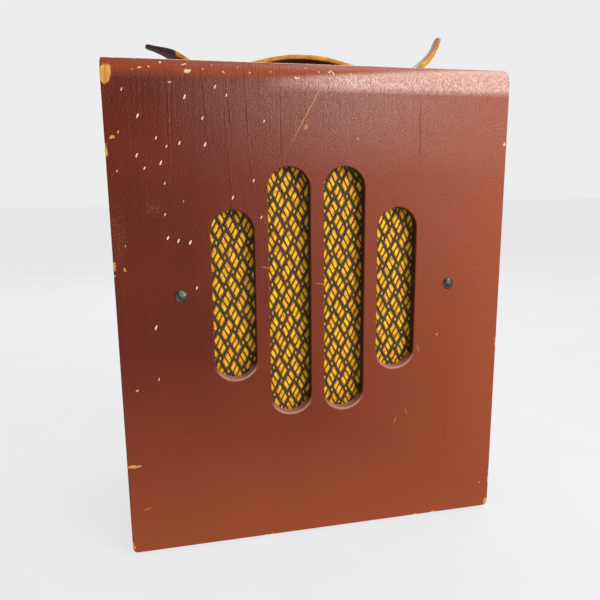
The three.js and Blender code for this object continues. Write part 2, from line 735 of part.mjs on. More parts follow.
const wheel = rodY(wheelRadius, wheelY, wheelY + 2, 0, dialZ, 40);
const wheelHub = rodY(shaftRadius + 5, wheelY - 1.2, wheelY + 1, 0, dialZ, 20);
const wheelBore = rodY(shaftRadius + 0.15, wheelY - 3, wheelY + 3, 0, dialZ, 24);
const lightening = [0, 1, 2, 3, 4].map((i) => {
  const turn = (i * 2 * Math.PI) / 5;
  return rodY(8, wheelY - 1, wheelY + 3, 23 * Math.sin(turn), dialZ + 23 * Math.cos(turn), 10);
});
add("drive_wheel", cut(join(wheel, wheelHub), wheelBore, ...lightening), canAluminium);

const dialPlateY = wheelY + 2 + 0.6;
const dialCupRadius = windowRadius + 4;
const dialCup = turnedY([
  [shaftRadius + 1.5, dialPlateY],
  [dialCupRadius, dialPlateY],
  [dialCupRadius, panelY - sheetMetal - touch],
  [dialCupRadius - 1.2, panelY - sheetMetal - touch],
  [dialCupRadius - 1.2, dialPlateY + 0.8],
  [shaftRadius + 1.5, dialPlateY + 0.8],
  [shaftRadius + 1.5, dialPlateY],
], 0, dialZ, 36);
add("dial_scale", dialCup, dialPaper);
const glassY = panelY - sheetMetal - touch - 1;
add("dial_window", rodY(dialCupRadius - 1.2 - touch, glassY, glassY + 1, 0, dialZ, 36), clearPlastic);

const pointerLength = windowRadius - 5;
const needle = block([-0.7, pointerY, dialZ + shaftRadius], [0.7, pointerY + 0.7, dialZ + pointerLength]);
const tailPiece = block([-1.1, pointerY, dialZ - 9], [1.1, pointerY + 0.7, dialZ - shaftRadius]);
const hub = rodY(shaftRadius + 1.4, pointerY, pointerY + 0.7, 0, dialZ, 16);
const hubBore = rodY(shaftRadius + 0.15, pointerY - 1, pointerY + 2, 0, dialZ, 24);
add("dial_pointer", cut(join(needle, tailPiece, hub), hubBore), pointerRed);

// ---------------------------------------------------------------- controls
function knob(x) {
  const base = panelY + 0.8;
  const tip = base + knobLength;
  const outer = [
    [0, base + knobLength - 3],
    [shaftRadius + 0.15, base + knobLength - 3],
    [shaftRadius + 0.15, base],
    [knobRadius, base],
    [knobRadius, base + 2.4],
    [knobRadius * 0.84, base + 3.6],
    [knobRadius * 0.76, tip - 2],
    [knobRadius * 0.66, tip],
    [0, tip],
  ];
  const body = turnedY(outer, x, knobZ, 24);
  const mark = block([x - 0.6, tip - 0.7, knobZ + 3], [x + 0.6, tip + 1, knobZ + knobRadius]);
  return cut(body, mark);
}
add("volume_knob", knob(knobPlaces.volume), bakelite);
add("tuning_knob", knob(knobPlaces.tuning), bakelite);
add("tone_knob", knob(knobPlaces.tone), bakelite);

const knobShaftEnd = panelY + 0.8 + knobLength - 4;
const controlY = apronY - sheetMetal - touch;
for (const name of ["volume", "tone"]) {
  const x = knobPlaces[name];
  const can = turnedY([
    [0, controlY - 14],
    [11, controlY - 14],
    [12, controlY - 13],
    [12, controlY - 3],
    [shaftRadius + 3, controlY - 3],
    [shaftRadius + 3, controlY],
    [shaftRadius + clearance, controlY],
    [shaftRadius + clearance, controlY - 8],
    [0, controlY - 8],
  ], x, knobZ, 20);
  const lugs = block([x - 9, controlY - 7, knobZ - 18], [x + 9, controlY - 5.8, knobZ - 8]);
  add(`${name}_control`, join(can, lugs), chassisSteel);
  add(`${name}_shaft`, rodY(shaftRadius, controlY - 7, knobShaftEnd, x, knobZ), nickel);
}
const spindle = turnedY([
  [0, controlY - 16],
  [shaftRadius, controlY - 16],
  [shaftRadius, wheelY - 0.6],
  [driveRadius, wheelY - 0.6],
  [driveRadius, wheelY + 2.6],
  [shaftRadius, wheelY + 2.6],
  [shaftRadius, knobShaftEnd],
  [0, knobShaftEnd],
], knobPlaces.tuning, knobZ, 24);
add("tuning_spindle", spindle, nickel);

const grommetX = -115;
const grommetZ = floorZ + boardThickness + 16;
const grommetBore = 3.6;
const panelHalf = innerHalf - touch;
const panel = block([-panelHalf, panelY - sheetMetal, chassisFloorZ], [panelHalf, panelY, panelTopZ]);
const windowHole = rodY(windowRadius, panelY - 3, panelY + 1, 0, dialZ, 40);
const grommetHole = rodY(grommetBore + 3 + touch, panelY - 3, panelY + 1, grommetX, grommetZ, 20);
add("control_panel", cut(panel, windowHole, grommetHole, ...shaftHoles), panelPaint);

// The grommet for the mains lead grips the panel's edge in its groove.
const grommetIn = panelY - sheetMetal - touch;
add("cord_grommet", turnedY([
  [grommetBore, grommetIn - 2],
  [grommetBore + 5, grommetIn - 2],
  [grommetBore + 5, grommetIn],
  [grommetBore + 3, grommetIn],
  [grommetBore + 3, panelY + touch],
  [grommetBore + 5, panelY + touch],
  [grommetBore + 4.4, panelY + 2.2],
  [grommetBore, panelY + 2.2],
  [grommetBore, grommetIn - 2],
], grommetX, grommetZ, 20), rubber);

// Aerial and earth terminals on one moulded strip.
const terminalX = 112;
const terminalZ = dialZ;
const stripFace = panelY + touch + 4;
const strip = block([terminalX - 7, panelY + touch, terminalZ - 16], [terminalX + 7, stripFace, terminalZ + 16]);
const posts = [-8, 8].map((dz) => turnedY([
  [0, stripFace - 1],
  [4.6, stripFace - 1],
  [4.6, stripFace + 5],
  [3.8, stripFace + 6],
  [0, stripFace + 6],
], terminalX, terminalZ + dz, 16));
add("terminal_strip", join(strip, ...posts), bakelite);

export default root;
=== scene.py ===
import json
import math

import bmesh
import bpy
import numpy as np
from mathutils import Matrix, Vector

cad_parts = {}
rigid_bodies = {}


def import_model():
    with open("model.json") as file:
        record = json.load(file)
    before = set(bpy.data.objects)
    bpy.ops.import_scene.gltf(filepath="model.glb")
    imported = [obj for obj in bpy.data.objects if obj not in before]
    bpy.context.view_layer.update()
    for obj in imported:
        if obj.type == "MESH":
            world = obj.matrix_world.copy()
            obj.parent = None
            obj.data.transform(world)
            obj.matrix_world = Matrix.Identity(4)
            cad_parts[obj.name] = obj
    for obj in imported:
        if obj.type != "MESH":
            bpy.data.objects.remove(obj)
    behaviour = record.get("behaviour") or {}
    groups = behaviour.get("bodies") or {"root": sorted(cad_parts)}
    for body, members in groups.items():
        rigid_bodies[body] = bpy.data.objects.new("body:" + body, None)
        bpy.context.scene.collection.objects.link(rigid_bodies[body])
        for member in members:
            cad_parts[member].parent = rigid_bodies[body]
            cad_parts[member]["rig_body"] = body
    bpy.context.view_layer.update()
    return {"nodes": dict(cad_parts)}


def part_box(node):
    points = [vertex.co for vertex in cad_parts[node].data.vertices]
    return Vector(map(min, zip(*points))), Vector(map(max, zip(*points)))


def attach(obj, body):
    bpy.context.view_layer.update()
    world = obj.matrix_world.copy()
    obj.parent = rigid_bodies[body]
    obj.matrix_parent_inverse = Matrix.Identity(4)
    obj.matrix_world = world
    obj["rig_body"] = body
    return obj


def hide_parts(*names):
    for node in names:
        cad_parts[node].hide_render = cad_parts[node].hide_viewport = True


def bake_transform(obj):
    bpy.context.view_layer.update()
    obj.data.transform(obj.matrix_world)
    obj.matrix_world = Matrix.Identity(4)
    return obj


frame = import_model()
mm = 0.001  # everything below is thought out in millimetres
print("frame loaded:", len(frame["nodes"]), "nodes")

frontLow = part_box("front_board")[0]
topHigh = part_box("top_board")[1]
faceY = frontLow.y  # plane of the front face
floorZ = frontLow.z  # underside of the case
roofZ = topHigh.z
rearY = topHigh.y
halfWidth = topHigh.x

# camera: standing a little left of the set, looking slightly down on it
camera = {
    "place": (-105.1 * mm, faceY - 399.9 * mm, floorZ + 258.6 * mm),
    "right": (0.97530, -0.22067, -0.00966),
    "up": (0.05123, 0.18345, 0.98169),
    "lens": 35.46,
    "sensor": 36.0,
}
cameraData = bpy.data.cameras.new("camera")
cameraData.lens = camera["lens"]
cameraData.sensor_width = camera["sensor"]
cameraData.clip_start = 0.01
cameraObject = bpy.data.objects.new("camera", cameraData)
bpy.context.scene.collection.objects.link(cameraObject)
rightway = Vector(camera["right"]).normalized()
upward = Vector(camera["up"])
upward = (upward - rightway * upward.dot(rightway)).normalized()
backward = rightway.cross(upward)
turn = Matrix((rightway, upward, backward)).transposed()
cameraObject.matrix_world = Matrix.Translation(camera["place"]) @ turn.to_4x4()
bpy.context.scene.camera = cameraObject
print("camera set")


# materials
def linear(code, alpha=1.0):  # sRGB hex to the linear colour that a shader wants
    parts = [int(code[i : i + 2], 16) / 255 for i in (1, 3, 5)]
    bent = [c / 12.92 if c <= 0.04045 else ((c + 0.055) / 1.055) ** 2.4 for c in parts]
    return (*bent, alpha)


def add(tree, kind, *feeds, stops=(), **values):
    # one node: feeds go to its sockets in order, Capitalised values go to sockets by name
    # and the other values are settings
    made = tree.nodes.new("ShaderNode" + kind)
    for name, value in values.items():
        if name[0].islower():
            setattr(made, name, value)
    sockets = [s for s in made.inputs if s.enabled]
    pairs = list(zip(sockets, feeds))
    for name, value in values.items():
        if name[0].isupper():
            pairs.append((next(s for s in sockets if s.name == name.replace("_", " ")), value))
    for socket, value in pairs:
        if isinstance(value, bpy.types.Node):
            value = next(o for o in value.outputs if o.enabled)
        if isinstance(value, bpy.types.NodeSocket):
            tree.links.new(value, socket)
        elif value is not None:
            socket.default_value = value
    for index, (position, value) in enumerate(stops):
        marks = made.color_ramp.elements
        mark = marks[index] if index < 2 else marks.new(position)
        mark.position = position
        mark.color = linear(value) if isinstance(value, str) else (value, value, value, 1)
    return made


def begin(name, **uniform):  # an empty material with its shader, and the object's own millimetres
    material = bpy.data.materials.new(name)
    material.use_nodes = True
    tree = material.node_tree
    tree.nodes.clear()
    shader = add(tree, "BsdfPrincipled", **uniform)
    add(tree, "OutputMaterial", shader)
    place = add(tree, "TexCoord")
    inMm = add(tree, "VectorMath", place.outputs["Object"], Scale=1 / mm, operation="SCALE")
    return material, tree, shader, inMm


def wire(tree, shader, colour=None, rough=None, height=None, strength=0.3, distance=0.3):
    if colour:
        tree.links.new(next(o for o in colour.outputs if o.enabled), shader.inputs["Base Color"])
    if rough:
        tree.links.new(next(o for o in rough.outputs if o.enabled), shader.inputs["Roughness"])
    if height:
        bump = add(tree, "Bump", Height=height, Strength=strength, Distance=distance * mm)
        tree.links.new(bump.outputs[0], shader.inputs["Normal"])


def spotMask(tree, place, spots, soft):
    # 1 inside each long or round spot (x, height, half width, half height, lean in degrees), 0 outside
    total = None
    for x, z, wide, tall, lean in spots:
        own = add(
            tree, "Mapping", place, Location=(x, 0, z), Rotation=(0, math.radians(lean), 0),
            Scale=(wide, 1e4, tall), vector_type="TEXTURE",
        )
        away = add(tree, "VectorMath", own, operation="LENGTH")
        inside = add(tree, "MapRange", away, From_Min=1 + soft, From_Max=1 - soft)
        total = inside if total is None else add(tree, "Math", total, inside, operation="MAXIMUM")
    return total


# Leatherette: cloth coated with pigmented nitrocellulose and embossed with a fine pebble.
# That gives a warm red-brown with a soft, broad sheen, and pale wood where the coating has chipped.
covering = {
    "dark": "#5b1906",
    "light": "#6c2209",
    "rollTone": "#8a3a17",
    # painted light: the lighter colour given to the bottom and the right
    "paintedBounceLight": "#a44c24",
    "scored": "#c08a52",
    "fleck": "#dfcab6",
    # painted highlight colour along the creases
    "creaseHighlight": "#8d6458",
    "bruise": "#e0bd94",
    # painted sheen colour for the zone under the roll
    "paintedSheen": "#a67f77",
    # painted highlight colour for the band just under the roll
    "paintedHighlight": "#dcb7aa",
    # painted highlight colour for the lower slot lips
    "lipHighlight": "#bd8a7b",
    "wood": ("#bd7a30", "#e3a850"),
    "pebble": 0.9,  # mm from bump to bump, a little coarse so that it shows
    "mottle": 75.0,  # mm
    "roughness": 0.38,
    # zones: where each starts and is complete, in mm above the underside or to the right of the
    # middle, then how strong it is at those two places
    "rolled": (325.0, 331.0, 0.0, 0.85),
    "paintedSheenHeight": (262.0, 316.0, 0.0, 0.48),
    "paintedSheenFromLeft": (-110.0, 20.0),
    "paintedSheenToRight": (50.0, 130.0, 1.0, 0.35),
    "paintedSheenTop": (330.0, 324.0),
    "highlightLow": (319.0, 324.0),
    "highlightHigh": (331.5, 328.5),
    "highlightSide": (-40.0, 20.0, 0.0, 0.9),
    "dragged": (262.0, 318.0, 0.0, 1.3),
    "puckered": (290.0, 322.0, 0.0, 0.9),
    "taut": (255.0, 315.0),
    "paintedBounceLow": (150.0, 0.0),
    "paintedBounceRight": (-90.0, 150.0),
    "fleckedLeft": (30.0, -60.0),
    "fleckedHigh": (150.0, 260.0),
    "fleckSpacing": (7.5, 21.0),  # mm across and up
    "fleckLean": -24,  # degrees
    "fleckChance": (0.22, 0.008),  # share of places with a fleck: most, and least anywhere
    "fleckSize": (0.05, 0.03),  # spread and least size, as a share of the spacing
    "fleckClear": 12.0,  # mm below the roof, left without flecks
    "chips": [  # x, height above the underside, half width, half height, lean
        (-137.2, 327.5, 4.0, 6.0, 8),
        (-135.3, 289.6, 1.6, 0.7, -20),
        (-139.8, 282.0, 0.8, 4.0, 0),
        (-138.9, 208.0, 1.1, 2.6, 0),
        (-132.8, 205.3, 0.8, 1.2, 0),
        (-130.0, 122.6, 1.3, 0.7, 0),
        (-135.5, 66.5, 5.6, 0.9, 3),
        (-139.8, 5.0, 1.2, 4.5, 0),
        (-40.4, 0.4, 4.2, 0.8, 0),
        (-87.5, 0.3, 2.2, 0.6, 0),
        (93.2, 0.5, 3.0, 0.7, 0),
        (76.8, 0.4, 2.0, 0.6, 0),
        (138.6, 4.0, 1.9, 3.4, 0),
        (139.7, 25.0, 0.7, 5.5, 0),
        (139.7, 137.9, 0.8, 2.6, 0),
        (131.8, 21.2, 1.2, 0.5, 40),
    ],
    "knocks": [  # pale bruises on and under the rolled edge
        (-103.6, 335.5, 0.65, 0.5, 0),
        (-110.7, 332.9, 0.94, 0.58, 0),
        (-88.9, 334.8, 1.15, 0.43, 0),
        (-87.2, 330.4, 2.16, 1.01, 12),
        (-116.2, 331.9, 1.08, 0.43, 0),
        (-76.6, 332.2, 0.72, 0.5, 0),
        (-64.1, 330.2, 0.5, 0.5, 0),
        (-47.1, 330.7, 0.65, 0.72, -14),
        (-9.8, 334.3, 0.65, 0.36, 0),
        (-1.0, 332.8, 0.58, 0.5, 0),
        (7.0, 333.2, 2.02, 0.58, -10),
        (9.2, 331.2, 0.58, 1.37, 0),
        (-16.2, 328.2, 1.87, 0.58, 4),
        (21.1, 331.7, 0.5, 0.43, 0),
        (-98.2, 323.3, 1.01, 0.58, 0),
        (137.8, 286.8, 0.58, 1.15, 0),
        (-120.5, 330.6, 0.4, 0.4, 0),
        (-92.0, 331.5, 0.4, 0.3, 0),
        (-71.0, 334.9, 0.4, 0.4, 0),
        (-55.0, 334.0, 0.3, 0.4, 0),
        (-33.0, 331.0, 0.4, 0.3, 0),
        (28.0, 333.6, 0.4, 0.3, 0),
        (41.0, 332.4, 0.3, 0.3, 0),
    ],
    "creases": [  # long wrinkles where the covering was drawn down over the roll
        (-100.1, 292.0, 0.45, 24.0, 2.0),
        (-76.4, 311.0, 0.5, 16.0, -3.0),
        (-60.9, 309.0, 0.5, 15.0, -4.0),
        (-62.5, 269.0, 0.4, 28.0, -2.0),
        (-49.2, 294.0, 0.5, 32.0, -3.0),
        (-26.8, 302.0, 0.5, 24.0, 0.0),
        (72.3, 296.0, 0.4, 24.0, -2.0),
        (99.8, 73.0, 0.35, 13.0, -2.0),
    ],
    "crazed": [
        (-135.5, 229.0, 4.5, 15.0, 0),
        (-112.0, 246.0, 4.0, 5.0, 0),
        (-38.0, 236.0, 2.5, 4.0, 10),
    ],
    "lips": [(-61.6, 139.2), (-22.2, 110.7), (17.2, 110.7), (56.6, 139.2)],  # lower slot ends: x, height
    "lipRadius": 15.3,
    "lipHalf": (1.3, 0.5, 0.0, 0.7),  # mm from that radius, then strength
    "scratches": [
        (-8.6, 307.0, 0.32, 23.5, 29.5),
        (-10.1, 297.0, 1.1, 1.7, 20.0),
        (-37.5, 203.0, 4.8, 0.3, 9.0),
        (0.0, 190.0, 4.2, 0.25, 12.0),
        (75.2, 137.7, 0.3, 3.2, -22.0),
        (58.1, 82.0, 0.3, 2.6, 20.0),
        (66.9, 88.3, 0.25, 2.6, -16.0),
        (-128.0, 33.4, 3.0, 0.35, -20.0),
        (26.5, 289.5, 0.8, 0.6, 0.0),
    ],
}


def fleckMask(tree, split, height):  # short pale flecks, all leaning one way, thickest at the upper left
    flat = add(tree, "CombineXYZ", split.outputs["X"], height)
    lean = math.radians(covering["fleckLean"])
    spacing = (*covering["fleckSpacing"], 1)
    laid = add(tree, "Mapping", flat, Rotation=(0, 0, lean), Scale=spacing, vector_type="TEXTURE")
    cells = add(tree, "TexVoronoi", laid, Scale=1.0, Randomness=1.0, voronoi_dimensions="2D")
    chance = add(tree, "SeparateColor", cells.outputs["Color"])
    leftness = add(tree, "MapRange", split.outputs["X"], *covering["fleckedLeft"])
    highness = add(tree, "MapRange", height, *covering["fleckedHigh"])
    likely = add(tree, "Math", leftness, highness, operation="MULTIPLY")
    likely = add(tree, "Math", likely, *covering["fleckChance"], operation="MULTIPLY_ADD")
    present = add(tree, "Math", chance.outputs["Red"], likely, operation="LESS_THAN")
    size = add(tree, "Math", chance.outputs["Green"], *covering["fleckSize"], operation="MULTIPLY_ADD")
    inside = add(tree, "Math", cells, size, operation="LESS_THAN")
    flecked = add(tree, "Math", present, inside, operation="MULTIPLY")
    highest = roofZ / mm - floorZ / mm - covering["fleckClear"]
    under = add(tree, "Math", height, highest, operation="LESS_THAN")
    return add(tree, "Math", flecked, under, operation="MULTIPLY")


def rubbedLips(tree, place, colour):  # the lower lip of each slot gets a pale painted highlight, where the upward-facing lip would catch the light
    for lipX, lipZ in covering["lips"]:
        fromEnd = add(tree, "VectorMath", place, (lipX, 0, lipZ), operation="SUBTRACT")
        fromEnd = add(tree, "VectorMath", fromEnd, (1, 0, 1), operation="MULTIPLY")
        upright = add(tree, "SeparateXYZ", fromEnd).outputs["Z"]
        below = add(tree, "MapRange", upright, From_Min=-5.0, From_Max=-11.0)
        away = add(tree, "VectorMath", fromEnd, operation="LENGTH")
        away = add(tree, "Math", away, covering["lipRadius"], operation="SUBTRACT")
        lip = add(tree, "Math", away, operation="ABSOLUTE")
        lip = add(tree, "MapRange", lip, *covering["lipHalf"])
        lip = add(tree, "Math", lip, below, operation="MULTIPLY")
        colour = add(tree, "Mix", lip, colour, linear(covering["lipHighlight"]), data_type="RGBA")
    return colour


def leatherette(name, worn):
    material, tree, shader, inMm = begin(name, IOR=1.5, Specular_IOR_Level=0.22)
    split = add(tree, "SeparateXYZ", inMm)
    height = add(tree, "Math", split.outputs["Z"], floorZ / mm, operation="SUBTRACT")
    mottle = add(tree, "TexNoise", inMm, Scale=1 / covering["mottle"], Detail=5.0)
    drawn = add(tree, "VectorMath", inMm, (0.5, 0.5, 0.014), operation="MULTIPLY")
    grain = add(tree, "TexNoise", drawn, Scale=1.0, Detail=3.0)
    base = add(tree, "ValToRGB", mottle, stops=[(0.3, covering["dark"]), (0.7, covering["light"])])
    streak = add(tree, "ValToRGB", grain, stops=[(0.3, 0.72), (0.7, 1.0)])
    colour = add(tree, "Mix", 0.5, base, streak, data_type="RGBA", blend_type="MULTIPLY")
    pebble = add(tree, "TexVoronoi", inMm, Scale=1 / covering["pebble"], feature="SMOOTH_F1")
    fine = add(tree, "TexNoise", inMm, Scale=1.4, Detail=3.0)
    relief = add(tree, "Math", fine, 0.8, pebble, operation="MULTIPLY_ADD")
    ink = add(tree, "ValToRGB", fine, stops=[(0.32, 0.74), (0.62, 1.0)])
    colour = add(tree, "Mix", 0.6, colour, ink, data_type="RGBA", blend_type="MULTIPLY")
    low, high = covering["roughness"] - 0.05, covering["roughness"] + 0.08
    rough = add(tree, "ValToRGB", mottle, stops=[(0.3, low), (0.7, high)])
    if not worn:
        wire(tree, shader, colour, rough, relief, 0.3, 0.35)
        return material
    ground = add(tree, "VectorMath", inMm, (0, 0, floorZ / mm), operation="SUBTRACT")
    ragged = add(tree, "TexNoise", inMm, Scale=0.3, Detail=4.0)
    jitter = add(tree, "VectorMath", ragged.outputs["Color"], (0.5, 0.5, 0.5), operation="SUBTRACT")
    broken = add(tree, "VectorMath", jitter, (4.5, 0, 4.5), ground, operation="MULTIPLY_ADD")
    swaying = add(tree, "TexNoise", inMm, Scale=0.05, Detail=2.0)
    sway = add(tree, "VectorMath", swaying.outputs["Color"], (0.5, 0.5, 0.5), operation="SUBTRACT")
    waved = add(tree, "VectorMath", sway, (4.0, 0, 0.0), ground, operation="MULTIPLY_ADD")
    waved = add(tree, "VectorMath", jitter, (1.6, 0, 0), waved, operation="MULTIPLY_ADD")
    nudged = add(tree, "VectorMath", jitter, (0.9, 0, 0.9), ground, operation="MULTIPLY_ADD")
    chipped = spotMask(tree, broken, covering["chips"], 0.1)
    bruised = spotMask(tree, broken, covering["knocks"], 0.2)
    creased = spotMask(tree, waved, covering["creases"], 0.6)
    gaps = add(tree, "TexNoise", inMm, Scale=0.12, Detail=2.0)
    gaps = add(tree, "ValToRGB", gaps, stops=[(0.42, 0.1), (0.56, 1.0)])
    creased = add(tree, "Math", creased, gaps, operation="MULTIPLY")
    scored = spotMask(tree, nudged, covering["scratches"], 0.3)
    # a few places are crazed: a web of fine pale cracks
    web = add(tree, "TexVoronoi", broken, Scale=0.55, feature="DISTANCE_TO_EDGE")
    web = add(tree, "MapRange", web, From_Min=0.045, From_Max=0.015, To_Max=0.4)
    crazed = add(tree, "Math", spotMask(tree, broken, covering["crazed"], 0.5), web, operation="MULTIPLY")
    scored = add(tree, "Math", scored, crazed, operation="MAXIMUM")
    # the very edges have lost their coating here and there
    across = add(tree, "Math", split.outputs["X"], operation="ABSOLUTE")
    across = add(tree, "Math", halfWidth / mm, across, operation="SUBTRACT")
    rim = add(tree, "Math", across, height, operation="MINIMUM")
    nicks = add(tree, "Math", ragged, 6.0, -3.75, operation="MULTIPLY_ADD")
    bare = add(tree, "Math", nicks, rim, operation="SUBTRACT")
    bare = add(tree, "MapRange", bare, From_Min=-0.15, From_Max=0.25)
    chipped = add(tree, "Math", chipped, bare, operation="MAXIMUM")
    flecked = fleckMask(tree, split, height)
    # the roll is coloured lighter and redder; the lower and right parts are painted lighter, a painted
    # stand-in for light bouncing up from the floor and falling from the right
    rolled = add(tree, "MapRange", height, *covering["rolled"])
    colour = add(tree, "Mix", rolled, colour, linear(covering["rollTone"]), data_type="RGBA")
    # painted light: lighter towards the bottom and towards the right
    low = add(tree, "MapRange", height, *covering["paintedBounceLow"])
    right = add(tree, "MapRange", split.outputs["X"], *covering["paintedBounceRight"])
    paintedBounceLight = add(tree, "Math", low, right, operation="MAXIMUM")
    paintedBounceLight = add(tree, "Math", paintedBounceLight, 0.62, operation="MULTIPLY")
    colour = add(tree, "Mix", paintedBounceLight, colour, linear(covering["paintedBounceLight"]), data_type="RGBA")
    # painted highlight: each crease is painted paler, as if catching the light
    shine = add(tree, "Math", creased, 0.16, operation="MULTIPLY")
    colour = add(tree, "Mix", shine, colour, linear(covering["creaseHighlight"]), data_type="RGBA")
    faint = add(tree, "Math", scored, 0.7, operation="MULTIPLY")
    colour = add(tree, "Mix", faint, colour, linear(covering["scored"]), data_type="RGBA")
    colour = add(tree, "Mix", bruised, colour, linear(covering["bruise"]), data_type="RGBA")
    colour = add(tree, "Mix", flecked, colour, linear(covering["fleck"]), data_type="RGBA")
    wood = add(tree, "ValToRGB", grain, stops=[(0.3, covering["wood"][0]), (0.7, covering["wood"][1])])
    colour = add(tree, "Mix", chipped, colour, wood, data_type="RGBA")
    # the stretched part under the roll gets a pale grey painted sheen, strongest right of the middle, and
    # drag lines
    pulled = add(tree, "VectorMath", inMm, (1.7, 1.7, 0.7), operation="MULTIPLY")
    pulled = add(tree, "TexNoise", pulled, Scale=1.0, Detail=3.0, Roughness=0.6)
    patchy = add(tree, "ValToRGB", pulled, stops=[(0.4, 0.3), (0.6, 1.0)])
    sheenRising = add(tree, "MapRange", height, *covering["paintedSheenHeight"])
    fromLeft = add(tree, "MapRange", split.outputs["X"], *covering["paintedSheenFromLeft"])
    paintedSheen = add(tree, "Math", sheenRising, fromLeft, operation="MULTIPLY")
    farRight = add(tree, "MapRange", split.outputs["X"], *covering["paintedSheenToRight"])
    paintedSheen = add(tree, "Math", paintedSheen, farRight, operation="MULTIPLY")
    notRolled = add(tree, "MapRange", height, *covering["paintedSheenTop"])
    paintedSheen = add(tree, "Math", paintedSheen, notRolled, operation="MULTIPLY")
    paintedSheen = add(tree, "Math", paintedSheen, patchy, operation="MULTIPLY")
    colour = add(tree, "Mix", paintedSheen, colour, linear(covering["paintedSheen"]), data_type="RGBA")
    stretched = add(tree, "MapRange", height, *covering["dragged"])
    drag = add(tree, "Math", grain, stretched, operation="MULTIPLY")
    relief = add(tree, "Math", relief, drag, operation="ADD")
    puckered = add(tree, "MapRange", height, *covering["puckered"])
    relief = add(tree, "Math", pulled, puckered, relief, operation="MULTIPLY_ADD")
    relief = add(tree, "Math", creased, 3.4, relief, operation="MULTIPLY_ADD")
    relief = add(tree, "Math", chipped, -2.0, relief, operation="MULTIPLY_ADD")
    # a pale painted highlight band just under the roll, standing in for the reflection of a lamp there
    bandLow = add(tree, "MapRange", height, *covering["highlightLow"])
    slanted = add(tree, "Math", split.outputs["X"], -0.07, height, operation="MULTIPLY_ADD")
    bandHigh = add(tree, "MapRange", slanted, *covering["highlightHigh"])
    bandSide = add(tree, "MapRange", split.outputs["X"], *covering["highlightSide"])
    band = add(tree, "Math", bandLow, bandHigh, operation="MULTIPLY")
    band = add(tree, "Math", band, bandSide, operation="MULTIPLY")
    band = add(tree, "Math", band, patchy, operation="MULTIPLY")
    colour = add(tree, "Mix", band, colour, linear(covering["paintedHighlight"]), data_type="RGBA")
    colour = rubbedLips(tree, nudged, colour)
    taut = add(tree, "MapRange", height, *covering["taut"])  # pulled tight, so smoother
    rough = add(tree, "Mix", taut, rough, (0.3, 0.3, 0.3, 1), data_type="RGBA")
    rough = add(tree, "Mix", chipped, rough, (0.8, 0.8, 0.8, 1), data_type="RGBA")
    wire(tree, shader, colour, rough, relief, 0.6, 0.45)
    return material


coveringWorn = leatherette("leatherette_worn", True)
coveringPlain = leatherette("leatherette", False)

# Speaker cloth: gold rayon floats in threes that turn from cell to cell, held down by paired
# dark cotton cords. The rayon glints along its threads; the cotton stays dull.
cloth = {
    "wide": 11.0,  # mm, one repeat across
    "tall": 20.5,  # mm, one repeat up
    "startX": -0.45,
    "startZ": 240.65,  # above the underside of the case
    "float": 0.235,  # half length of a float, as a share of its cell
    "pitch": 0.36,  # from float to float, as a share of the cell
    "half": 0.127,  # half width of a float, as a share of the cell
    "relief": 0.3,  # mm
    "mesh": 0.7 * mm,  # from point to point of its surface
    "gold": ("#a86203", "#eba205", "#ffd428"),
    "cotton": ("#020101", "#1c130c", "#8f6f4c"),
}


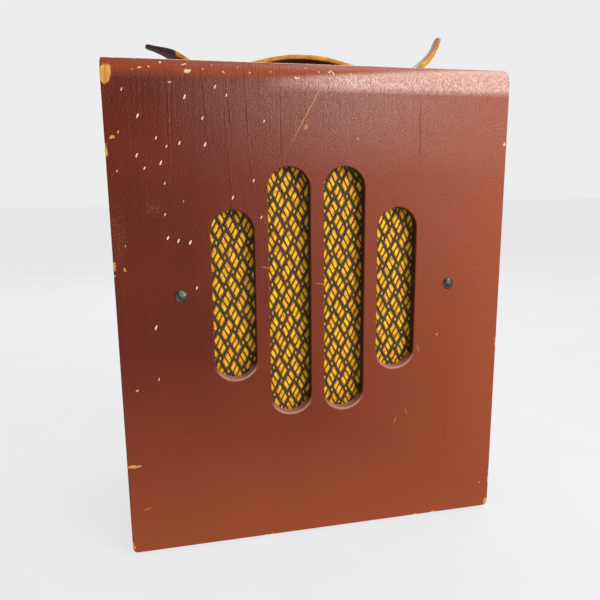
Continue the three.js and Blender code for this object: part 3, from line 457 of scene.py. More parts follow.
def speakerCloth():
    material, tree, shader, inMm = begin("rayon_and_cotton_speaker_cloth", Specular_IOR_Level=0.25)
    split = add(tree, "SeparateXYZ", inMm)
    unruly = add(tree, "TexNoise", inMm, Scale=0.3, Detail=2.0)
    wander = add(tree, "Math", unruly, 0.1, -0.05, operation="MULTIPLY_ADD")
    sideways = add(tree, "Math", split.outputs["X"], cloth["startX"], operation="SUBTRACT")
    sideways = add(tree, "Math", sideways, cloth["wide"], operation="DIVIDE")
    down = add(tree, "Math", floorZ / mm + cloth["startZ"], split.outputs["Z"], operation="SUBTRACT")
    down = add(tree, "Math", down, cloth["tall"], operation="DIVIDE")
    down = add(tree, "Math", down, wander, operation="ADD")
    first = add(tree, "Math", down, sideways, operation="ADD")
    second = add(tree, "Math", down, sideways, operation="SUBTRACT")
    firstCell = add(tree, "Math", first, operation="ROUND")
    secondCell = add(tree, "Math", second, operation="ROUND")
    firstIn = add(tree, "Math", first, firstCell, operation="SUBTRACT")
    secondIn = add(tree, "Math", second, secondCell, operation="SUBTRACT")
    parity = add(tree, "Math", firstCell, secondCell, operation="ADD")
    turned = add(tree, "Math", parity, 2.0, operation="FLOORED_MODULO")
    along = add(tree, "Mix", turned, firstIn, secondIn, data_type="FLOAT")
    over = add(tree, "Mix", turned, secondIn, firstIn, data_type="FLOAT")
    bar = add(tree, "Math", over, cloth["pitch"], operation="DIVIDE")
    bar = add(tree, "Math", bar, operation="ROUND")
    bar = add(tree, "Math", bar, -1.0, operation="MAXIMUM")
    bar = add(tree, "Math", bar, 1.0, operation="MINIMUM")
    own = add(tree, "Math", bar, -cloth["pitch"], over, operation="MULTIPLY_ADD")
    aside = add(tree, "Math", own, operation="ABSOLUTE")
    reach = add(tree, "Math", along, operation="ABSOLUTE")
    frayed = add(tree, "TexNoise", inMm, Scale=1.3, Detail=1.0)
    ends = add(tree, "Math", frayed, 0.07, cloth["float"] - 0.035, operation="MULTIPLY_ADD")
    ends = add(tree, "Math", ends, reach, operation="SUBTRACT")
    ends = add(tree, "MapRange", ends, From_Min=-0.012, From_Max=0.012)
    sides = add(tree, "Math", cloth["half"], aside, operation="SUBTRACT")
    sides = add(tree, "MapRange", sides, From_Min=-0.01, From_Max=0.01)
    gold = add(tree, "Math", ends, sides, operation="MULTIPLY")
    # a glint of rayon also shows where four cells meet
    toCorner = add(tree, "Math", 0.5, reach, operation="SUBTRACT")
    toSide = add(tree, "Math", 0.5, add(tree, "Math", over, operation="ABSOLUTE"), operation="SUBTRACT")
    near = add(tree, "Math", toCorner, toSide, operation="ADD")
    glint = add(tree, "MapRange", near, From_Min=0.11, From_Max=0.07)
    gold = add(tree, "Math", gold, glint, operation="MAXIMUM")
    threads = add(tree, "Math", own, 2 * math.pi * 6 / (2 * cloth["half"]), operation="MULTIPLY")
    threads = add(tree, "Math", threads, operation="SINE")  # six ends in a float
    tone = add(tree, "TexNoise", inMm, Scale=0.45, Detail=4.0, Roughness=0.7)
    shade = add(tree, "Math", threads, 0.06, tone, operation="MULTIPLY_ADD")
    low, middle, high = cloth["gold"]
    rayon = add(tree, "ValToRGB", shade, stops=[(0.3, low), (0.68, high), (0.47, middle)])
    # two cotton strands side by side, with a dark line between them and at each edge
    strand = add(tree, "Math", reach, cloth["float"], operation="SUBTRACT")
    strand = add(tree, "Math", strand, 2 / (0.5 - cloth["float"]), operation="MULTIPLY")
    strand = add(tree, "Math", strand, operation="FRACT")
    strand = add(tree, "Math", strand, 0.5, operation="SUBTRACT")
    strand = add(tree, "Math", strand, operation="ABSOLUTE")
    twist = add(tree, "Math", along, 0.6, over, operation="MULTIPLY_ADD")
    twist = add(tree, "Math", twist, 2 * math.pi * 9, operation="MULTIPLY")
    twist = add(tree, "Math", twist, operation="SINE")
    light = add(tree, "Math", 0.62, strand, operation="SUBTRACT")
    light = add(tree, "Math", twist, 0.07, light, operation="MULTIPLY_ADD")
    dull, brown, pale = cloth["cotton"]
    cotton = add(tree, "ValToRGB", light, stops=[(0.24, dull), (0.6, pale), (0.42, brown)])
    inCord = add(tree, "Math", reach, cloth["float"] + 0.01, operation="GREATER_THAN")
    cord = add(tree, "Mix", inCord, linear(dull), cotton, data_type="RGBA")
    colour = add(tree, "Mix", gold, cord, rayon, data_type="RGBA")
    lift = add(tree, "Math", threads, 0.1, gold, operation="MULTIPLY_ADD")
    lift = add(tree, "Math", light, 0.8, lift, operation="MULTIPLY_ADD")
    rough = add(tree, "Mix", gold, (0.85, 0.85, 0.85, 1), (0.4, 0.4, 0.4, 1), data_type="RGBA")
    wire(tree, shader, colour, rough, lift, 0.4, 0.25)
    return material


def twoTone(
    name, deep, pale, rough, patch=20.0, grit=1.0, mix=0.5, strength=0.3,
    drawn=(1, 1, 1), stain=None, darkenedAlongX=None, **uniform,
):
    # broad patches and fine grit (sizes in mm) together choose between two tones; grit also makes the relief
    material, tree, shader, inMm = begin(name, **uniform)
    pulled = add(tree, "VectorMath", inMm, drawn, operation="MULTIPLY")
    clouds = add(tree, "TexNoise", pulled, Scale=1 / patch, Detail=5.0)
    fine = add(tree, "TexNoise", pulled, Scale=1 / grit, Detail=4.0)
    tone = add(tree, "Mix", mix, clouds, fine, data_type="FLOAT")
    colour = add(tree, "ValToRGB", tone, stops=[(0.38, deep), (0.62, pale)])
    if stain:
        spread = add(tree, "TexNoise", inMm, Scale=0.35, Detail=6.0)
        patchy = add(tree, "ValToRGB", spread, stops=[(0.57, 0.0), (0.68, 1.0)])
        colour = add(tree, "Mix", patchy, colour, linear(stain), data_type="RGBA")
    if darkenedAlongX:  # darker from one place along X to another, in mm
        start, end, dark = darkenedAlongX
        side = add(tree, "SeparateXYZ", inMm).outputs["X"]
        side = add(tree, "Math", tone, 14.0, side, operation="MULTIPLY_ADD")
        reached = add(tree, "MapRange", side, From_Min=start, From_Max=end)
        colour = add(tree, "Mix", reached, colour, linear(dark), data_type="RGBA")
    least, most = max(rough - 0.07, 0.03), min(rough + 0.09, 1.0)
    gloss = add(tree, "ValToRGB", clouds, stops=[(0.3, least), (0.7, most)])
    wire(tree, shader, colour, gloss, fine, strength, 0.25)
    return material


# each entry: deep tone, pale tone, roughness, patch and grit in mm, share of grit, relief
finish = {
    "speakerCloth": speakerCloth(),
    # Saddle leather, vegetable tanned: the grain is waxed dark, the cut edge stays raw and golden.
    "grain": twoTone("waxed_saddle_leather", "#33160c", "#7a4018", 0.45, 9, 1.2, 0.5, 0.5, IOR=1.5),
    # The flesh side is coloured darker than the grain: painted shade for the shadowed underside of the strap.
    "fleshShade": twoTone("saddle_leather_flesh_side_painted_shade", "#1c0b07", "#43200f", 0.8, 9, 0.8, 0.6, 0.6, IOR=1.5),
    "cutEdge": twoTone("raw_cut_leather", "#9c5604", "#e39c12", 0.6, 6, 0.8, 0.5, 0.6, IOR=1.5),
    "tanned": twoTone(
        "undyed_saddle_leather", "#8a4a14", "#c9822c", 0.55, 8, 1.0, 0.5, 0.5,
        darkenedAlongX=(-74, -90, "#37190d"), IOR=1.5,
    ),
    "handled": twoTone("hand_darkened_leather", "#261007", "#4a2312", 0.5, 7, 1.0, 0.4, 0.4, IOR=1.5),
    # Nickel silver, stamped and long unpolished: grey-green with brown in the hollows.
    "aged": twoTone(
        "aged_nickel_silver", "#24251f", "#7d7e70", 0.38, 3, 0.7, 0.5, 0.6, stain="#3f2f20", Metallic=1.0
    ),
    # Nickel plate over steel, gone dull: warm grey with a few rust freckles.
    "nickel": twoTone(
        "dull_nickel_plate", "#8a8172", "#c3bcab", 0.34, 12, 0.6, 0.4, 0.2, stain="#6b4a30", Metallic=1.0
    ),
    # Cadmium plate, never polished: soft grey, a little yellowed.
    "steel": twoTone(
        "cadmium_plated_steel", "#7d7d74", "#b0afa4", 0.44, 18, 0.8, 0.35, 0.15, stain="#857650", Metallic=1.0
    ),
    # Aluminium, spun or pressed: pale with fine lines round it.
    "aluminium": twoTone("pressed_aluminium", "#a2a5a8", "#cdd0d2", 0.36, 14, 0.5, 0.4, 0.15, Metallic=1.0),
    # Transformer iron, dipped in black varnish: dark with a wax-like gloss.
    "varnished": twoTone(
        "varnished_transformer_iron", "#1d1a17", "#39342e", 0.42, 9, 1.4, 0.5, 0.4, IOR=1.55
    ),
    # Nickel sheet, carbonised inside the bulb: dark grey with a silver bloom.
    "getter": twoTone("carbonised_nickel_plate", "#2b2b2d", "#77787c", 0.35, 9, 1.2, 0.4, 0.2, Metallic=1.0),
    # Birch, sawn and left bare: straight pale grain.
    "birch": twoTone("sawn_birch", "#a87848", "#d9b27c", 0.72, 30, 1.6, 0.6, 0.4, drawn=(0.5, 0.5, 0.03)),
    # Plywood edge inside each slot, stained with thin brown lacquer and darkened further as painted shade:
    # near-black and dull, put only on walls that face sideways or down.
    "slotWallShade": twoTone("slot_wall_painted_shade", "#140805", "#331309", 0.6, 8, 1.2, 0.5, 0.4),
    # Pulp board, pressed: flat grey-brown with short fibres.
    "pulpboard": twoTone("pressed_pulp_board", "#6b5740", "#927c5d", 0.85, 25, 1.1, 0.7, 0.5),
    # Hardboard, oil tempered: dark brown, faintly shiny on its face.
    "hardboard": twoTone("oil_tempered_hardboard", "#38200f", "#66401f", 0.55, 35, 1.2, 0.6, 0.4),
    # Wrinkle enamel, baked: near-black brown, every wrinkle with its own glint.
    "wrinkle": twoTone("brown_wrinkle_enamel", "#1a0f0a", "#3a2519", 0.42, 20, 1.3, 0.7, 1.0, IOR=1.5),
    # Phenolic, moulded and buffed: almost black brown with a hard gloss and faint flow marks.
    "phenolic": twoTone("moulded_phenolic", "#160a06", "#341a10", 0.2, 9, 2.5, 0.4, 0.06, IOR=1.6),
    # Natural rubber, aged: matt charcoal with a bloom on it.
    "rubber": twoTone("aged_rubber", "#171514", "#34302c", 0.78, 6, 0.9, 0.5, 0.35, IOR=1.5),
    # Cone paper, felted: dull near-black with short fibres.
    "paper": twoTone("felted_cone_paper", "#181512", "#3b352c", 0.9, 16, 0.7, 0.7, 0.6),
    # Enamelled zinc, screen printed: cream, slightly uneven and yellowed.
    "card": twoTone("cream_dial_enamel", "#d3c28c", "#ece2bd", 0.42, 14, 2.0, 0.3, 0.08, IOR=1.5),
    "ink": twoTone("black_printing_ink", "#120d0a", "#2a211a", 0.6, 5, 1.0, 0.5, 0.1),
    # Paint wiped into an engraved line: ivory with darker edges.
    "ivory": twoTone("ivory_line_filler", "#c9bd9c", "#efe6cc", 0.6, 3, 0.8, 0.5, 0.2),
    # Sprayed enamel on a thin blade: deep red, smooth.
    "red": twoTone("red_pointer_enamel", "#7c120c", "#b3271a", 0.32, 6, 1.5, 0.4, 0.08, IOR=1.5),
    # Soda glass, blown: clear, with dust and faint waviness.
    "glass": twoTone(
        "blown_soda_glass", "#e9edeb", "#ffffff", 0.06, 20, 4.0, 0.3, 0.03, IOR=1.52, Transmission_Weight=1.0
    ),
    # Cellulose acetate, cast: clear, a touch yellow, finely scuffed.
    "window": twoTone(
        "cast_acetate_window", "#efe6c6", "#fbf7e6", 0.08, 15, 1.5, 0.3, 0.04,
        IOR=1.48, Transmission_Weight=1.0,
    ),
}
print("materials made:", len(bpy.data.materials))


# making pieces
def pieceFrom(name, mesh, material, body, nodes=()):
    made = bpy.data.objects.new(name, mesh)
    bpy.context.scene.collection.objects.link(made)
    for one in material if isinstance(material, (list, tuple)) else [material]:
        made.data.materials.append(one)
    if body:
        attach(made, body)
    if nodes:
        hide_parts(*nodes)
    return made


def meshOf(name, points, faces, smooth=True):
    mesh = bpy.data.meshes.new(name)
    mesh.from_pydata([tuple(p) for p in points], [], faces)
    work = bmesh.new()
    work.from_mesh(mesh)
    bmesh.ops.recalc_face_normals(work, faces=work.faces)
    work.to_mesh(mesh)
    work.free()
    mesh.polygons.foreach_set("use_smooth", [smooth] * len(mesh.polygons))
    return mesh


def settle(piece):  # bakes the modifiers into the mesh
    graph = bpy.context.evaluated_depsgraph_get()
    made = bpy.data.meshes.new_from_object(piece.evaluated_get(graph))
    piece.modifiers.clear()
    piece.data = made
    return piece


def steady(piece):  # each large flat face keeps one normal, so no shading fans out from its holes
    mesh = piece.data
    normals = [Vector(corner.vector) for corner in mesh.corner_normals]
    for polygon in mesh.polygons:
        if polygon.area > 100 * mm * mm:
            for corner in polygon.loop_indices:
                normals[corner] = polygon.normal.copy()
    mesh.normals_split_custom_set(normals)
    return piece


def soften(piece, width, segments=3, angle=35, inner=None):  # eases every edge sharper than the angle
    piece.data.polygons.foreach_set("use_smooth", [True] * len(piece.data.polygons))
    bevel = piece.modifiers.new("softened edges", "BEVEL")
    bevel.width = width * mm
    bevel.segments = segments
    bevel.limit_method = "ANGLE"
    bevel.angle_limit = math.radians(angle)
    bevel.harden_normals = True
    bevel.use_clamp_overlap = True
    if inner is not None:
        bevel.material = inner
    return steady(settle(piece))


def refined(name, material, edge=0.3, segments=2):
    # the node's own shape, its facets joined into whole faces and its edges eased
    node = frame["nodes"][name]
    mesh = node.data.copy()
    work = bmesh.new()
    work.from_mesh(mesh)
    bmesh.ops.remove_doubles(work, verts=work.verts, dist=0.005 * mm)
    bmesh.ops.dissolve_limit(work, angle_limit=math.radians(0.6), verts=work.verts, edges=work.edges)
    for face in work.faces:
        face.material_index = 0
    work.to_mesh(mesh)
    work.free()
    mesh.materials.clear()
    piece = pieceFrom(name + "_finished", mesh, material, node["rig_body"], [name])
    return soften(piece, edge, segments)


def prism(outline, low, high, plane="xz"):  # a closed outline in two axes, carried along the third
    order = {"xz": lambda a, b, c: (a, c, b), "yz": lambda a, b, c: (c, a, b)}[plane]
    count = len(outline)
    points = [order(a, b, c) for c in (low, high) for a, b in outline]
    faces = [list(range(count))[::-1], list(range(count, 2 * count))]
    for i in range(count):
        j = (i + 1) % count
        faces.append([i, j, count + j, count + i])
    return points, faces


def lathe(profile, centre, axis="y", steps=48, ripple=None):
    # profile is (radius, height) from one end of the axis to the other; ripple(turn, index) scales a radius
    points, faces = [], []
    rings = []
    for index, (radius, height) in enumerate(profile):
        if radius < 1e-9:
            rings.append([len(points)])
            points.append((0, 0, height))
            continue
        rings.append(list(range(len(points), len(points) + steps)))
        for step in range(steps):
            angle = 2 * math.pi * step / steps
            scale = ripple(angle, index) if ripple else 1
            points.append((radius * scale * math.cos(angle), radius * scale * math.sin(angle), height))
    for lower, upper in zip(rings, rings[1:]):
        for step in range(steps):
            after = (step + 1) % steps
            corners = [lower[step % len(lower)], lower[after % len(lower)]]
            corners += [upper[after % len(upper)], upper[step % len(upper)]]
            unique = list(dict.fromkeys(corners))
            if len(unique) > 2:
                faces.append(unique)
    turned = {
        "z": lambda p: p,
        "y": lambda p: (p[0], p[2], -p[1]),
        "-y": lambda p: (p[0], -p[2], p[1]),
    }[axis]
    middle = Vector(centre)
    return [middle + Vector(turned(p)) for p in points], faces


def carve(piece, cutter, operation="DIFFERENCE"):
    step = piece.modifiers.new("carve", "BOOLEAN")
    step.operation = operation
    step.solver = "EXACT"
    step.object = cutter
    settle(piece)
    bpy.data.objects.remove(cutter)


def loose(name, points, faces):  # a helper object that is removed again
    made = bpy.data.objects.new(name, meshOf(name, points, faces, False))
    bpy.context.scene.collection.objects.link(made)
    return made


def arcPoints(centre, radius, start, end, steps):
    return [
        (centre[0] + radius * math.cos(math.radians(start + (end - start) * i / steps)),
         centre[1] + radius * math.sin(math.radians(start + (end - start) * i / steps)))
        for i in range(steps + 1)
    ]


# the case: front and top are one sheet of covering, drawn over the rolled edge
case = {
    "roll": 11.0 * mm,
    "board": 9.0 * mm,
    "front": 8.0 * mm,
    "lowerCorner": 4.0 * mm,
    "edge": 1.1,
    "slotCentre": (-2.5 * mm, floorZ + 183.6 * mm),
    "slotWidth": 29.6 * mm,
    "slotPitch": 39.4 * mm,
    "slotLengths": (118.4 * mm, 175.4 * mm, 175.4 * mm, 118.4 * mm),
}


def caseWrap():
    roll, thick = case["roll"], case["board"]
    outline = [(faceY, floorZ)]
    outline += arcPoints((faceY + roll, roofZ - roll), roll, 180, 90, 20)
    outline += [(rearY, roofZ), (rearY, roofZ - thick), (faceY + case["front"], roofZ - thick)]
    outline += [(faceY + case["front"], floorZ)]
    points, faces = prism(outline, -halfWidth, halfWidth, "yz")
    mesh = meshOf("case", points, faces, False)
    nodes = ["front_board", "top_board"]
    piece = pieceFrom("case_front_and_top", mesh, coveringWorn, "cabinet", nodes)
    corner = case["lowerCorner"]
    around = [(halfWidth, roofZ + 0.01), (-halfWidth, roofZ + 0.01)]
    around += arcPoints((-halfWidth + corner, floorZ + corner), corner, 180, 270, 10)
    around += arcPoints((halfWidth - corner, floorZ + corner), corner, 270, 360, 10)
    carve(piece, loose("outline", *prism(around, faceY - 0.01, rearY + 0.01)), "INTERSECT")
    radius = case["slotWidth"] / 2
    for index, length in enumerate(case["slotLengths"]):
        x = case["slotCentre"][0] + (index - 1.5) * case["slotPitch"]
        z = case["slotCentre"][1]
        reach = length / 2 - radius
        slotShape = arcPoints((x, z + reach), radius, 0, 180, 40)
        slotShape += arcPoints((x, z - reach), radius, 180, 360, 40)
        carve(piece, loose("slot", *prism(slotShape, faceY - 0.01, faceY + 0.012)))
    # the slot walls facing sideways or down take the dark material as painted shade; walls facing up keep the
    # covering
    piece.data.materials.append(finish["slotWallShade"])
    for polygon in piece.data.polygons:
        inSlots = abs(polygon.center.x) < 0.1 and 0.05 < polygon.center.z - floorZ < 0.31
        shadedWall = abs(polygon.normal.y) < 0.5 and polygon.normal.z < 0.35
        if inSlots and shadedWall and polygon.center.y < faceY + case["front"]:
            polygon.material_index = 1
    return soften(piece, case["edge"], 4, inner=0)


caseWrap()
for name in ("side_board_left", "side_board_right", "bottom_board", "rear_rail"):
    refined(name, coveringPlain, 0.8, 3)
print("case made")

# grille cloth: the floats stand up and the cords lie lower
clothLow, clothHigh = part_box("grille_cloth")


def grilleCloth():
    columns = int((clothHigh.x - clothLow.x) / cloth["mesh"])
    rows = int((clothHigh.z - clothLow.z) / cloth["mesh"])
    acrossCloth = np.linspace(clothLow.x, clothHigh.x, columns)
    upCloth = np.linspace(clothLow.z, clothHigh.z, rows)
    x, z = np.meshgrid(acrossCloth, upCloth)
    acrossX = (x / mm - cloth["startX"]) / cloth["wide"]
    downZ = (floorZ / mm + cloth["startZ"] - z / mm) / cloth["tall"]
    first, second = downZ + acrossX, downZ - acrossX
    firstIn, secondIn = first - np.round(first), second - np.round(second)
    turned = np.mod(np.round(first) + np.round(second), 2) > 0.5
    along = np.where(turned, secondIn, firstIn)
    over = np.where(turned, firstIn, secondIn)
    own = over - cloth["pitch"] * np.clip(np.round(over / cloth["pitch"]), -1, 1)
    endways = np.clip(1 - (np.abs(along) / (cloth["float"] + 0.03)) ** 4, 0, 1)
    sideways = np.clip(1 - (np.abs(own) / (cloth["half"] + 0.03)) ** 2, 0, 1)
    rise = endways * np.sqrt(sideways)
    strand = np.clip(np.abs(along) - cloth["float"], 0, 1) / (0.5 - cloth["float"]) * 2
    inCord = np.abs(along) > cloth["float"]
    rise = np.maximum(rise, 0.5 * np.sin(np.pi * np.mod(strand, 1)) * inCord)
    y = clothHigh.y - 0.1 * mm - rise * cloth["relief"] * mm
    points = np.stack([x, y, z], -1).reshape(-1, 3)
    index = np.arange(rows * columns).reshape(rows, columns)
    faces = np.stack([index[:-1, :-1], index[:-1, 1:], index[1:, 1:], index[1:, :-1]], -1).reshape(-1, 4)
    mesh = bpy.data.meshes.new("cloth")
    mesh.from_pydata(points.tolist(), [], faces.tolist())
    mesh.polygons.foreach_set("use_smooth", [True] * len(mesh.polygons))
    nodes = ["grille_cloth"]
    piece = pieceFrom("speaker_cloth", mesh, finish["speakerCloth"], "cabinet", nodes)
    return piece


grilleCloth()
print("cloth made")

# trim screws: a domed head with a pressed rosette, greyed with age
trim = {"rings": 26, "petals": 6, "groove": 0.42, "boss": 0.22, "ring": 0.2, "rim": 0.12}  # depths in mm


def trimScrew(side):
    low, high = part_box(f"trim_screw_{side}")
    radius = (high.x - low.x) / 2
    centre = ((low.x + high.x) / 2, faceY, (low.z + high.z) / 2)
    rise = faceY - low.y
    profile = [(0, rise)]
    for i in range(1, trim["rings"] + 1):
        share = i / trim["rings"]
        profile.append((radius * share, rise * math.cos(share * math.pi / 2 * 0.97) ** 0.8))
    profile += [(radius * 0.995, -0.1 * mm), (radius * 0.4, -0.1 * mm), (radius * 0.4, -8 * mm), (0, -8 * mm)]
    points, faces = lathe(profile, centre, "-y", 72)
    shaped = []
    for point in points:
        dx, dz = point.x - centre[0], point.z - centre[2]
        away, angle = math.hypot(dx, dz) / radius, math.atan2(dz, dx)
        if point.y < faceY - 0.05 * mm and away < 0.95:
            petals = 0.5 + 0.5 * math.cos(trim["petals"] * angle)
            groove = math.exp(-(((away - 0.52) / 0.2) ** 2)) * (1 - petals) * trim["groove"] * mm
            boss = math.exp(-((away / 0.2) ** 2)) * trim["boss"] * mm
            ring = math.exp(-(((away - 0.27) / 0.06) ** 2)) * trim["ring"] * mm
            rim = math.exp(-(((away - 0.84) / 0.05) ** 2)) * trim["rim"] * mm
            point.y += groove - boss + ring + rim
            point.y = max(point.y, low.y)
        shaped.append(point)
    mesh = meshOf(f"trim_{side}", shaped, faces)
    nodes = [f"trim_screw_{side}"]
    return pieceFrom(f"rosette_screw_{side}", mesh, finish["aged"], "cabinet", nodes)


for side in ("left", "right"):
    trimScrew(side)
print("trim screws made")

# strap handle, in two halves that meet at the top of the arch
gripLow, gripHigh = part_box("strap_grip")
loopLow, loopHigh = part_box("handle_loop_left")
loopLowRight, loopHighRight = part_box("handle_loop_right")
strap = {
    "thick": 3.5 * mm,
    "width": 22 * mm,
    "spade": 27 * mm,
    "tip": 6 * mm,
    "lift": 0.8 * mm,
    "arch": 12.4 * mm,
    "middleX": (loopLow.x + loopHighRight.x) / 2,
    "loopAt": (loopLowRight.x + loopHighRight.x - loopLow.x - loopHigh.x) / 4,
    "loopHalf": (loopHigh.x - loopLow.x) / 2,
    "travel": 5 * mm,
    "curls": {  # the two ends past the loops: first pull, second pull, tip, each (out from the loop, up)
        "left": ((12, 0), (15.5, 11.5), (46, 17.6)),
        "right": ((17, 2.5), (39, 13), (43.5, 32.5)),
    },
    "crown": 0.5 * mm,
    "skived": 18 * mm,  # length over which each end thins
    "rounded": 3.5 * mm,  # length of the rounded tip
    "waver": (0.12 * mm, 4.3 * mm),  # unevenness of the cut edge, and its spacing
    "tannedFrom": 12 * mm,  # out from the loop
    "darkFrom": 25 * mm,
}
strapY = (gripLow.y + gripHigh.y) / 2
strapZ = roofZ + strap["lift"] + strap["thick"] / 2


def strapLine(side):  # from the middle of the arch out to one tip
    sign = -1 if side == "left" else 1
    reach = strap["loopAt"] - strap["loopHalf"] - 1 * mm
    shoulder = strap["loopAt"] + strap["loopHalf"] + 1 * mm
    line = []
    for i in range(81):
        share = i / 80
        line.append((share * reach, strap["arch"] * (1 - share**2) ** 1.5))
    for i in range(1, 8):
        line.append((reach + (shoulder - reach) * i / 8, 0))
    pull = [(shoulder, 0)] + [(strap["loopAt"] + a * mm, b * mm) for a, b in strap["curls"][side]]
    for i in range(61):
        t = i / 60
        weights = ((1 - t) ** 3, 3 * (1 - t) ** 2 * t, 3 * (1 - t) * t * t, t**3)
        line.append(tuple(sum(w * p[k] for w, p in zip(weights, pull)) for k in (0, 1)))
    return [Vector((strap["middleX"] + sign * a, 0, strapZ + b)) for a, b in line], sign


def strapWidthAt(out):  # out is the distance from the middle of the handle
    spadeStart = strap["loopAt"] + strap["loopHalf"] + strap["travel"] + 1 * mm
    knots = [
        (spadeStart, strap["width"]),
        (spadeStart + 5 * mm, strap["spade"]),
        (spadeStart + 14 * mm, strap["spade"]),
        (strap["loopAt"] + 42 * mm, strap["tip"] + 5 * mm),
        (strap["loopAt"] + 60 * mm, strap["tip"]),
    ]
    if out <= knots[0][0]:
        return knots[0][1]
    for (x0, w0), (x1, w1) in zip(knots, knots[1:]):
        if out <= x1:
            share = (out - x0) / (x1 - x0)
            return w0 + (w1 - w0) * share * share * (3 - 2 * share)
    return knots[-1][1]


def strapHalf(side):
    line, sign = strapLine(side)
    # a section with its long corners eased and its top slightly crowned: (across -1..1, up -1..1)
    half = [(-1, 0.0), (-1, 0.55), (-0.965, 0.86), (-0.9, 1.0)]
    half += [(-0.9 + 1.8 * i / 12, 1.0) for i in range(1, 12)]
    half += [(0.9, 1.0), (0.965, 0.86), (1, 0.55), (1, 0.0), (1, -0.6), (0.97, -0.9), (0.92, -1.0)]
    half += [(0.92 - 1.84 * i / 12, -1.0) for i in range(1, 12)]
    half += [(-0.92, -1.0), (-0.97, -0.9), (-1, -0.6)]
    points, faces = [], []
    count = len(half)
    last = len(line) - 1
    length = [0.0]
    for a, b in zip(line, line[1:]):
        length.append(length[-1] + (b - a).length)
    for i, spot in enumerate(line):
        ahead = (line[min(i + 1, last)] - line[max(i - 1, 0)]).normalized()
        up = Vector((-ahead.z * sign, 0, ahead.x * sign))
        up = up if up.z > 0 or abs(ahead.z) > 0.99 else -up
        wide = strapWidthAt(abs(spot.x - strap["middleX"])) / 2
        remaining = length[-1] - length[i]
        thin = 1 - 0.5 * max(0, 1 - remaining / strap["skived"])
        ending = min(1.0, remaining / strap["rounded"])
        wide *= 0.35 + 0.65 * math.sqrt(max(0.0, 1 - (1 - ending) ** 2))
        for across, upwards in half:
            crown = 0.0 if upwards < 0.99 else -strap["crown"] * across * across * 0.6
            waver = strap["waver"][0] * math.sin(length[i] / strap["waver"][1] + across * 2.1)
            high = upwards * (strap["thick"] / 2 - 0.05 * mm) * thin + crown + waver * 0.4
            points.append(spot + up * high + Vector((0, strapY + across * wide, 0)))
    for i in range(last):
        for k in range(count):
            n = (k + 1) % count
            faces.append([i * count + k, i * count + n, (i + 1) * count + n, (i + 1) * count + k])
    faces.append(list(range(count)))
    faces.append([last * count + k for k in range(count)][::-1])
    mesh = meshOf(f"strap_{side}", points, faces)
    nodes = ["strap_tail_left", "strap_grip"] if side == "left" else ["strap_tail_right"]
    materials = [finish[key] for key in ("grain", "fleshShade", "cutEdge", "handled", "tanned")]
    piece = pieceFrom(f"leather_strap_{side}", mesh, materials, None, nodes)
    piece.data.update()
    ring = len(half)
    for polygon in piece.data.polygons:
        sides = [half[v % ring] for v in polygon.vertices]
        mean = sum(s[1] for s in sides) / len(sides)
        edge = sum(abs(s[0]) for s in sides) / len(sides)
        spread = max(s[0] for s in sides) - min(s[0] for s in sides)
        out = abs(polygon.center.x - strap["middleX"]) - strap["loopAt"]
        if len(polygon.vertices) > 4 or (edge > 0.93 and spread < 0.2):
            gripped = side == "left" and out > strap["darkFrom"]  # dark where it is handled
            polygon.material_index = 3 if gripped else 2
        elif out > strap["tannedFrom"]:
            polygon.material_index = 4
        else:
            polygon.material_index = 0 if mean > 0.9 else 1
    piece.data.set_sharp_from_angle(angle=math.radians(40))
    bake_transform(piece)
    return piece


for side in ("left", "right"):
    strapHalf(side)
print("strap made")

# parts whose own shape is right: eased edges and their finish
keepers = {
    "nickel": ["handle_loop_left", "handle_loop_right", "volume_shaft", "tone_shaft", "tuning_spindle"]
    + [n for n in frame["nodes"] if "screw" in n and not n.startswith("trim")],
    "steel": ["speaker_frame", "chassis", "volume_control", "tone_control"],
    "varnished": ["output_transformer", "speaker_magnet"],
    "birch": ["rear_cleat_left", "rear_cleat_right"],
    "pulpboard": ["baffle_board"],
    "hardboard": ["back_cover"],
    "rubber": ["cord_grommet"] + [n for n in frame["nodes"] if n.startswith("foot")],
    "wrinkle": ["control_panel"],
    "phenolic": ["terminal_strip"],
    "paper": ["voice_coil"],
    "aluminium": ["aerial_coil_can", "filter_capacitor"]
    + ["capacitor_frame", "capacitor_stator", "capacitor_rotor", "drive_wheel"],
    "card": ["dial_scale"],
    "window": ["dial_window"],
    "red": ["dial_pointer"],
}
for key, names in keepers.items():
    for name in names:
        refined(name, finish[key], 0.12 if key == "steel" else 0.3, 2)  # thin sheet takes a smaller bevel
print("kept nodes finished")

# control knobs: moulded with a plain skirt, fluted grips and a filled pointer line
knobs = {"flutes": 26, "flute": 0.05, "line": 1.1 * mm, "bore": 3.15 * mm}


